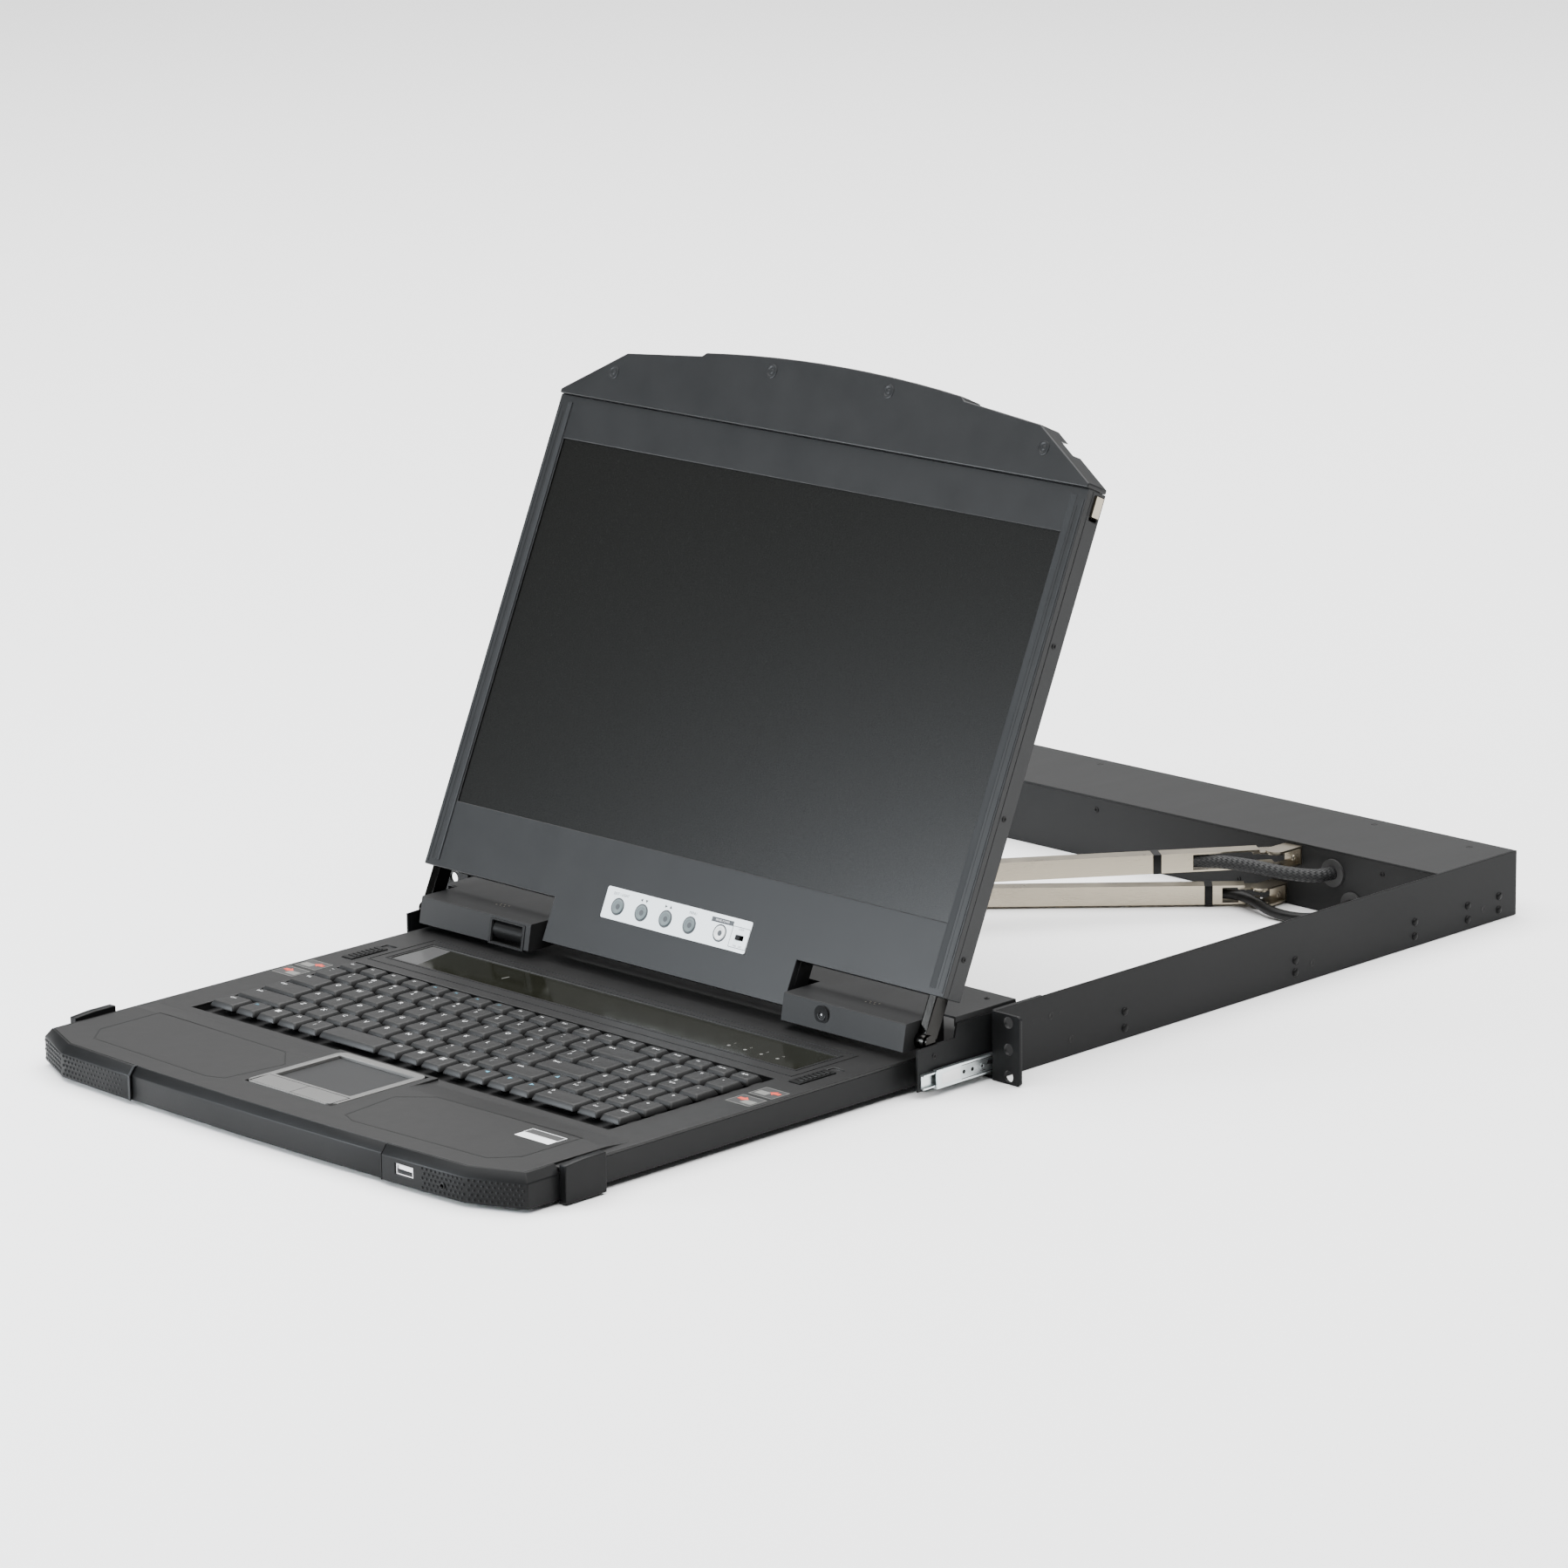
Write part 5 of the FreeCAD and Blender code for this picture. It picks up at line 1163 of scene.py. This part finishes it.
def build_box_rear():
    """Generic printing, vents and screws on the back of the electronics box."""
    rear = node_box("electronics_box")[1].y
    back = Matrix.Rotation(math.radians(180), 4, "Z") @ ON_LID
    bm = bmesh.new()
    for number, x in enumerate((-175.0, -130.0, -88.0, -62.0, -36.0, -10.0, 10.0)):
        add_words(bm, str(number + 1), 3.0, at(x, rear + 0.05, 12.0, back))
    add_words(bm, "POWER", 2.6, at(145.0, rear + 0.05, 15.5, back))
    finish("rear_printing", from_bmesh(bm), "chassis", "silver_plate", look="legend_white")
    slots = bmesh.new()
    for column in range(14):
        for z in (-9.0, -1.0, 7.0):
            x = 44.0 + column * 5.0
            add_flat(slots, ((x + a / 1.6, rear + 0.02, z + b)
                             for a, b in rounded_rectangle(3.2, 5.6, 1.5, 3)))
    finish("rear_vents", printed(slots, BACKWARDS), "chassis", "switch_dark")
    fasten("rear_screws", screw_head, [((x, rear, z), BACKWARDS) for x, z in
                                       ((-212.0, 0.0), (-110.0, -13.0), (30.0, -13.0), (122.0, 0.0),
                                        (212.0, 12.0))],
           "chassis", "switch_dark", scale=0.8)
    bm = bmesh.new()
    add_words(bm, "I", 3.6, at(145.0, rear + 2.18, 4.0, back))
    add_words(bm, "O", 3.6, at(145.0, rear + 1.95, -4.6, back))
    finish("rear_switch_marks", from_bmesh(bm), "rear_switch", "button_white", look="legend_white")


# ---- cable arms ----
def link_frame(start, end, z):
    """A place whose X runs along a link, Y away from its cable and Z up."""
    way = (Vector(end) - Vector(start)).normalized()
    return Matrix.Translation((start[0], start[1], z)) @ Matrix.Rotation(math.atan2(way.y, way.x), 4, "Z")


def build_arm_details():
    """Each arm's cable clip, elbow rivet and bracket screw."""
    for arm, floor_z, clip_at in (("upper", 6.5, 72.0), ("lower", -19.1, 30.0)):
        root = joint_at(f"{arm}_arm_root").to_2d()
        elbow = joint_at(f"{arm}_arm_elbow").to_2d()
        far = (root.x - (rear_reach - front_reach), far_pivot_y[arm])
        rear = link_frame(root, elbow, floor_z)
        front = link_frame(elbow, far, floor_z)
        bm = bmesh.new()
        start, end, low, high = clip_at, clip_at + 5.0, -13.3, -1.0
        add_block(bm, start, end, low, high, -0.15, 0.0)
        add_block(bm, start, end, low, high, 12.0, 12.15)
        for wall in (low, high):
            add_block(bm, start, end, wall - 0.3, wall + 0.3, -0.1, 12.1, 0.1)
        add_block(bm, start - 1.2, end + 1.2, low - 0.2, low + 1.4, 9.4, 12.1, 0.3)
        finish(f"{arm}_arm_clip", closed(bm), f"{arm}_rear_link", "switch_dark", rear,
               smooth=30)
        fasten(f"{arm}_elbow_rivets", rivet_head, [((0.0, 0.0, 11.3), UP)], f"{arm}_front_link",
               "nickel", front, scale=0.9)
        fasten(f"{arm}_bracket_screw", screw_head,
               [((root.x + 6.55, 387.0, floor_z + 6.0), OUTWARDS)], "chassis", "nickel", scale=0.8)


# ---- keyboard drawer ----
palm_top = 1.5
label_x, label_width = 159.5, 27.0


def thin_line(bm, points, width, low, high, looped=False):
    """A narrow raised or inked line along points in the XY plane."""
    count = len(points)
    loops = []
    for index, point in enumerate(points):
        here = Vector(point)
        before = Vector(points[index - 1]) if index or looped else here
        after = Vector(points[(index + 1) % count]) if index < count - 1 or looped else here
        into = (here - before).normalized() if (here - before).length > 1e-6 else (after - here).normalized()
        out = (after - here).normalized() if (after - here).length > 1e-6 else into
        across = Vector((-(into.y + out.y), into.x + out.x)).normalized()
        stretch = min(1.0 / max(across.dot(Vector((-into.y, into.x))), 0.3), 3.0)
        loops.append([bm.verts.new((*(here + across * (width / 2 * s * stretch)), z))
                      for s, z in ((1, low), (1, high), (-1, high), (-1, low))])
    ends = range(count if looped else count - 1)
    for index in ends:
        a, b = loops[index], loops[(index + 1) % count]
        for i in range(4):
            j = (i + 1) % 4
            bm.faces.new((a[i], a[j], b[j], b[i]))
    if not looped:
        bm.faces.new(loops[0])
        bm.faces.new(list(reversed(loops[-1])))


def build_drawer():
    softened("handle_bar", 0.5, "keyboard_drawer", "grip_plastic")
    softened("handle_caps", 0.5, "keyboard_drawer", "grip_plastic")
    softened("side_hooks", 0.5, "keyboard_drawer", "grip_plastic")
    softened("drawer_top", 0.3, "keyboard_drawer", "deck_paint")
    softened("drawer_pan", 0.3, "keyboard_drawer", "tray_paint")
    for side in ("left", "right"):
        softened(f"release_catch_{side}", 0.3, f"catch_{side}", "switch_dark")

    bm = bmesh.new()
    left = [(-178.0, -281.5), (-178.0, -326.0), (-166.0, -340.0), (-62.0, -344.5), (-51.0, -340.0),
            (-46.0, -300.0), (-64.0, -284.0), (-166.0, -281.0)]
    thin_line(bm, left, 0.8, palm_top - 0.02, palm_top + 0.05, looped=True)
    thin_line(bm, [(-x, y) for x, y in reversed(left)], 0.8, palm_top - 0.02, palm_top + 0.05, looped=True)
    finish("palm_seams", closed(bm), "keyboard_drawer", "switch_dark")

    bm = bmesh.new()
    for x, y0, y1 in ((178.0, -121.0, -68.0), (172.0, -112.0, -74.0)):
        rim = [(-x, y0), (x, y0), (x, y1), (-x, y1)]
        thin_line(bm, rim, 0.7, -0.05, 0.28, looped=True)
    finish("window_frame", closed(bm), "keyboard_drawer", "deck_paint", smooth=30)

    floor = node_box("status_window")[1].z + 0.03
    bm = bmesh.new()
    add_flat(bm, ((x, y, floor) for x, y in ((-169.5, -109.5), (-147.0, -109.5), (-154.0, -76.5),
                                             (-169.5, -76.5))))
    finish("window_clear_end", printed(bm), "keyboard_drawer", "window_plastic", look="window_clear")
    bm = bmesh.new()
    for x in (108.0, 121.0, 134.0, 147.0):
        angles = [a * math.tau / 12 for a in range(12)]
        add_flat(bm, ((x + 1.1 * math.cos(a), -101.0 + 1.1 * math.sin(a), floor) for a in angles))
        add_words(bm, "123A"[int((x - 108) / 13)], 2.6, at(x, -96.0, floor))
    add_words(bm, "I", 8.0, at(-88.0, -93.0, floor, Matrix.Rotation(math.radians(-8), 4, "Z")))
    finish("window_marks", printed(bm), "keyboard_drawer", "window_plastic", look="label_grey")

    for name, side in (("right", 1), ("left", -1)):
        bm = bmesh.new()
        for i in range(7):
            y = -125.0 + i * 3.4
            add_block(bm, *sorted((side * 184.8, side * 191.4)), y, y + 1.5, 0.4, 1.05, 0.15)
        finish(f"catch_ridges_{name}", closed(bm), f"catch_{name}", "switch_dark", smooth=30)
    build_labels()
    build_handle()
    build_touchpad()


def build_labels():
    """Two small pictograms beside each catch, and a bare two-tone label on the palm rest."""
    above = 0.04
    ground, red, plain = bmesh.new(), bmesh.new(), bmesh.new()
    for side in (1, -1):
        for y in (-170.0, -152.0):
            x = side * 191.5
            add_flat(ground, ((x + a, y + b, above) for a, b in rounded_rectangle(19.0, 15.0, 1.0, 3)))
            thin_line(plain, [(x - 9.0, y - 7.0), (x + 9.0, y - 7.0), (x + 9.0, y + 7.0), (x - 9.0, y + 7.0)],
                      0.35, above, above + 0.04, looped=True)
            turn = 1 if y < -160 else -1
            add_flat(plain, ((x + a + turn * 3.4, y + b - 1.6, above + 0.04)
                             for a, b in rounded_rectangle(8.6, 5.6, 0.6, 2)))
            arrow = [(-7.0, 0.9), (-3.4, 0.9), (-3.4, 2.6), (0.6, -0.6), (-3.4, -3.6), (-3.4, -2.0),
                     (-7.0, -2.0)]
            add_flat(red, ((x + a * turn, y + b + 2.0, above + 0.07) for a, b in arrow))
    for bm, name, look in ((ground, "catch_label_ground", "label_ground"),
                           (plain, "catch_label_shapes", "label_grey"),
                           (red, "catch_label_arrows", "arrow_red")):
        finish(name, printed(bm), "keyboard_drawer", "silver_plate", look=look)
    for name, y0, y1, look in (("palm_label_upper", -295.0, -288.0, "label_ground"),
                               ("palm_label_lower", -302.0, -295.2, "legend_white")):
        bm = bmesh.new()
        middle = (y0 + y1) / 2
        add_flat(bm, ((label_x + a, middle + b, palm_top + 0.05)
                      for a, b in rounded_rectangle(label_width, y1 - y0, 0.5, 2)))
        if "upper" in name:
            outline = bmesh.new()
            left, right = label_x - label_width / 2, label_x + label_width / 2
            thin_line(outline, [(left, y0 + 0.2), (right, y0 + 0.2), (right, y1), (left, y1)], 0.5,
                      palm_top + 0.05, palm_top + 0.09, looped=True)
            finish("palm_label_rim", closed(outline), "keyboard_drawer", "silver_plate", look="legend_white")
        finish(name, printed(bm), "keyboard_drawer", "silver_plate", look=look)


def face_place(start, end, z, proud):
    """A place on the grip's upright face between two points: X along it, Y up and Z outwards."""
    along = (Vector((*end, 0)) - Vector((*start, 0))).normalized()
    up = Vector((0, 0, 1))
    outwards = along.cross(up)
    middle = (Vector((*start, 0)) + Vector((*end, 0))) / 2 + outwards * proud
    return Matrix.Translation((middle.x, middle.y, z)) @ Matrix((along, up, outwards)).transposed().to_4x4()


socket_middle = (124.5, -9.4)
reset_centre = (154.0, -362.3, -11.7)


def build_handle():
    rise = 0.45
    flank, end = (170.0, -361.0), (204.0, -346.0)
    start = (138.0, -362.5)
    fields = (("front", start, flank, 10, 5, 3.3), ("corner", flank, end, 10, 5, 3.4))
    for side, mark in (("right", 1), ("left", -1)):
        for name, a, b, columns, rows, step in fields:
            if side == "left" and name == "front":
                a, columns = (113.0, -363.2), 17
            if mark < 0:
                a, b = (-b[0], b[1]), (-a[0], a[1])
            mesh = studs.grow(Columns=columns, Rows=rows, Step=step, Row_Step=2.7, Shift=0.5, Radius=0.95,
                              Rise=rise, Finish=looks["grip_plastic"])
            centre = Matrix.Translation((-step / 4, 0, 0))
            finish(f"grip_studs_{side}_{name}", mesh, "keyboard_drawer", "grip_plastic",
                   face_place(a, b, -10.4, rise / 2 - 0.05) @ centre, smooth=50)

    # The strip at the handle's left seam takes the lighter side_strip tone: a painted highlight along its edge.
    bm = bmesh.new()
    profile = [(-363.9, -17.9), (-363.9, -3.4), (-360.0, 1.35), (-357.6, 1.62), (-357.6, 1.3), (-359.6, 1.0),
               (-363.3, -3.6), (-363.3, -17.9)]
    add_outline(bm, [(-107.6, y, z) for y, z in profile], (1.7, 0.0, 0.0))
    finish("handle_seam_strip", closed(bm), "keyboard_drawer", "silver_plate", smooth=30, look="side_strip")
    bm = bmesh.new()
    add_outline(bm, [(106.4, y + 0.1, z - 0.1) for y, z in profile], (0.5, 0.0, 0.0))
    finish("handle_seam_right", closed(bm), "keyboard_drawer", "switch_dark", smooth=30)

    x, z = socket_middle
    bm = bmesh.new()
    add_block(bm, x - 5.6, x + 5.6, -361.8, -352.0, z - 0.1, z + 1.9, 0.15)
    finish("usb_tongue", closed(bm), "keyboard_drawer", "button_white", smooth=30, look="slide_insert")
    bm = bmesh.new()
    for i in range(4):
        left = x - 4.4 + i * 2.5
        add_block(bm, left, left + 1.2, -361.6, -353.0, z - 0.32, z - 0.08)
    for a, b in ((-6.55, -6.1), (6.1, 6.55)):
        add_block(bm, x + a, x + b, -362.55, -356.0, z - 2.6, z + 2.6, 0.1)
    for a, b in ((-2.9, -2.45), (2.45, 2.9)):
        add_block(bm, x - 6.55, x + 6.55, -362.55, -356.0, z + a, z + b, 0.1)
    finish("usb_contacts", closed(bm), "keyboard_drawer", "socket_metal", smooth=30)
    ring = [(2.2, 1.2), (2.2, 0.0), (1.9, -0.2), (1.4, -0.2), (1.2, 0.3), (1.2, 1.2)]
    finish("reset_ring", turned_mesh(reset_centre, ring, 24), "keyboard_drawer", "switch_dark",
           smooth=40)


def build_touchpad():
    softened("touchpad_bezel", 0.6, "keyboard_drawer", "pad_bezel", segments=3)
    softened("touchpad", 0.3, "keyboard_drawer", "pad_surface")
    for side in ("left", "right"):
        softened(f"touch_button_{side}", 0.35, f"touch_{side}", "pad_bezel")
    left, right = node_box("touch_button_left"), node_box("touch_button_right")
    middle = (left[1].x + right[0].x) / 2
    bm = bmesh.new()
    for x in (left[0].x, middle, right[1].x):
        add_block(bm, x - 0.16, x + 0.16, left[0].y, left[1].y + 0.2, 1.2, left[1].z - 0.05)
    add_block(bm, left[0].x, right[1].x, left[1].y, left[1].y + 0.32, 1.2, left[1].z - 0.05)
    finish("touch_button_seams", closed(bm), "keyboard_drawer", "switch_dark")


# ---- keys ----
key_low, key_high = node_box("main_keys")
key_gap, key_taper, row_pitch, function_depth = 2.6, 1.4, 19.6, 15.0
key_left = key_low.x - key_gap / 2
key_front = key_low.y - key_gap / 2
key_top = key_high.z
key_base = key_top - 3.6
columns_across, main_columns = 19, 15
key_unit = (node_box("number_pad_keys")[1].x + key_gap / 2 - key_left) / columns_across
space_bar_units = 2.75
key_rows = (
    ((1.25, "Ctrl"), (1, "Fn*"), (1, "#"), (1, "Alt"), (1, "| \\"), (space_bar_units, ""), (1, "Alt"),
     (1, "#"), (1, "="), (1, "Ctrl"), (1, "<*"), (1, "v*"), (1, ">*")),
    ((2.25, "Shift"), (1, "Z"), (1, "X"), (1, "C"), (1, "V"), (1, "B"), (1, "N"), (1, "M"), (1, ", <"),
     (1, ". >"), (1, "/ ?"), (1.75, "Shift"), (1, "^*")),
    ((1.75, "Caps"), (1, "A"), (1, "S"), (1, "D"), (1, "F"), (1, "G"), (1, "H"), (1, "J"), (1, "K"), (1, "L"),
     (1, "; :"), (1, "' \""), (2.25, "Enter")),
    ((1.5, "Tab"), (1, "Q"), (1, "W"), (1, "E"), (1, "R"), (1, "T"), (1, "Y"), (1, "U"), (1, "I"), (1, "O"),
     (1, "P"), (1, "[ {"), (1, "] }"), (1.5, "\\ |")),
    ((1, "` ~"), (1, "1 !"), (1, "2 @"), (1, "3 #"), (1, "4 $"), (1, "5 %"), (1, "6 &"), (1, "7 /"),
     (1, "8 ("), (1, "9 )"), (1, "0 ="), (1, "- _"), (1, "= +"), (2, "Back")),
)
pad_rows = (
    ((2, "0 Ins"), (1, ". Del"), (1, "Enter")),
    ((1, "1 End"), (1, "2"), (1, "3 PgDn"), (1, "+")),
    ((1, "4"), (1, "5"), (1, "6"), (1, "+")),
    ((1, "7 Home"), (1, "8"), (1, "9 PgUp"), (1, "-")),
    ((1, "Num"), (1, "/"), (1, "*"), (1, "-")),
)
function_row = ("Esc", "F1", "F2", "F3", "F4*", "F5*", "F6*", "F7*", "F8", "F9", "F10", "F11", "F12", "PrtSc",
                "Scroll", "Pause", "Ins", "Home", "PgUp")


def key_cells():
    """Every key as (group, x0, x1, y0, y1, legend)."""
    pad_left = key_left + main_columns * key_unit
    for row, (main, pad) in enumerate(zip(key_rows, pad_rows)):
        y0 = key_front + row * row_pitch
        for group, start, keys in (("main_keys", key_left, main), ("number_pad_keys", pad_left, pad)):
            x = start
            for width, legend in keys:
                name = "space_bar" if width == space_bar_units else group
                yield name, x, x + width * key_unit, y0, y0 + row_pitch, legend
                x += width * key_unit
    y0 = key_front + len(key_rows) * row_pitch
    for column, legend in enumerate(function_row):
        x = key_left + column * key_unit
        group = "main_keys" if column < main_columns else "number_pad_keys"
        yield group, x, x + key_unit, y0, y0 + function_depth, legend


def add_cap(bm, x0, x1, y0, y1):
    """A low notebook key: rounded corners, sloping sides and a slightly dished top."""
    gap = key_gap / 2
    cx, cy = (x0 + x1) / 2, (y0 + y1) / 2
    width, depth = x1 - x0 - 2 * gap, y1 - y0 - 2 * gap
    levels = ((0.0, 0.9, key_base), (0.0, 1.1, key_base + 0.8), (key_taper - 0.3, 1.4, key_top - 0.55),
              (key_taper, 1.5, key_top - 0.15), (key_taper + 0.55, 1.5, key_top),
              (key_taper + 2.2, 1.2, key_top - 0.16))
    rings = []
    for inset, radius, z in levels:
        points = rounded_rectangle(width - 2 * inset, depth - 2 * inset, radius, 3)
        rings.append([bm.verts.new((cx + x, cy + y, z)) for x, y in points])
    bridge(bm, rings)
    bm.faces.new(rings[-1])
    bm.faces.new(list(reversed(rings[0])))


ARROWS = {"<": 180, ">": 0, "^": 90, "v": 270}


def add_legend(bm, x0, x1, y0, y1, legend):
    """What is printed on one cap: letters, words, an arrow, bars or squares."""
    z = key_top + 0.02
    left = x0 + key_gap / 2 + key_taper + 1.6
    high = y1 - key_gap / 2 - key_taper - 2.6
    if legend in ARROWS:
        tips = arrowhead(1.8, ARROWS[legend], 130)
        add_flat(bm, ((left + 3.4 + a, high - 1.2 + b, z) for a, b in tips))
    elif legend == "#":
        for a, b in ((0, 0), (1.7, 0), (0, 1.7), (1.7, 1.7)):
            add_flat(bm, ((left + 2.0 + a + c, high - 3.0 + b + d, z)
                          for c, d in ((0, 0), (1.4, 0), (1.4, 1.4), (0, 1.4))))
    elif legend == "=":
        for b in (0.0, 1.3, 2.6):
            add_flat(bm, ((left + 1.6 + c, high - 3.0 + b + d, z)
                          for c, d in ((0, 0), (3.6, 0), (3.6, 0.6), (0, 0.6))))
    elif len(legend) > 3 and legend[1] == " ":
        add_words(bm, legend[0], 3.4, at(left + 1.8, high - 0.6, z))
        add_words(bm, legend[2:], 2.3, at(left + 3.6, high - 4.8, z))
    elif len(legend) == 3 and legend[1] == " ":
        add_words(bm, legend[2], 3.2, at(left + 1.8, high - 0.4, z))
        add_words(bm, legend[0], 3.2, at(left + 3.2, high - 4.9, z))
    elif len(legend) == 1:
        add_words(bm, legend, 4.3, at(left + 3.0, high - 1.8, z))
    elif legend:
        size = 2.7 if y1 - y0 > function_depth + 1 else 2.3
        add_words(bm, legend, size, at(left + 0.72 * len(legend) + 1.2, high - 1.0, z))


def build_keys():
    caps = {name: bmesh.new() for name in ("main_keys", "number_pad_keys", "space_bar")}
    inks = {(name, blue): bmesh.new() for name in ("main_keys", "number_pad_keys") for blue in (False, True)}
    for name, x0, x1, y0, y1, legend in key_cells():
        add_cap(caps[name], x0, x1, y0, y1)
        blue = legend.endswith("*") and len(legend) > 1
        if legend:
            add_legend(inks[(name, blue)], x0, x1, y0, y1, legend.rstrip("*") if blue else legend)
    bodies = {"main_keys": "key_block_main", "number_pad_keys": "key_block_pad",
              "space_bar": "key_block_space"}
    for name, bm in caps.items():
        finish(f"{name}_caps", closed(bm), bodies[name], "key_plastic", smooth=50,
               stands_for=(name,))
    for (name, blue), bm in inks.items():
        if not bm.verts:
            bm.free()
            continue
        finish(f"{name}_{'blue' if blue else 'white'}_legends", printed(bm), bodies[name],
               "silver_plate", look="legend_blue" if blue else "legend_white")


build_lid()
build_carriage()
build_slide_ends()
build_chassis()
build_arm_details()
build_drawer()
build_keys()

for leftover in (screw_head, rivet_head, cover_plug, countersunk, letter_object):
    bpy.data.objects.remove(leftover)
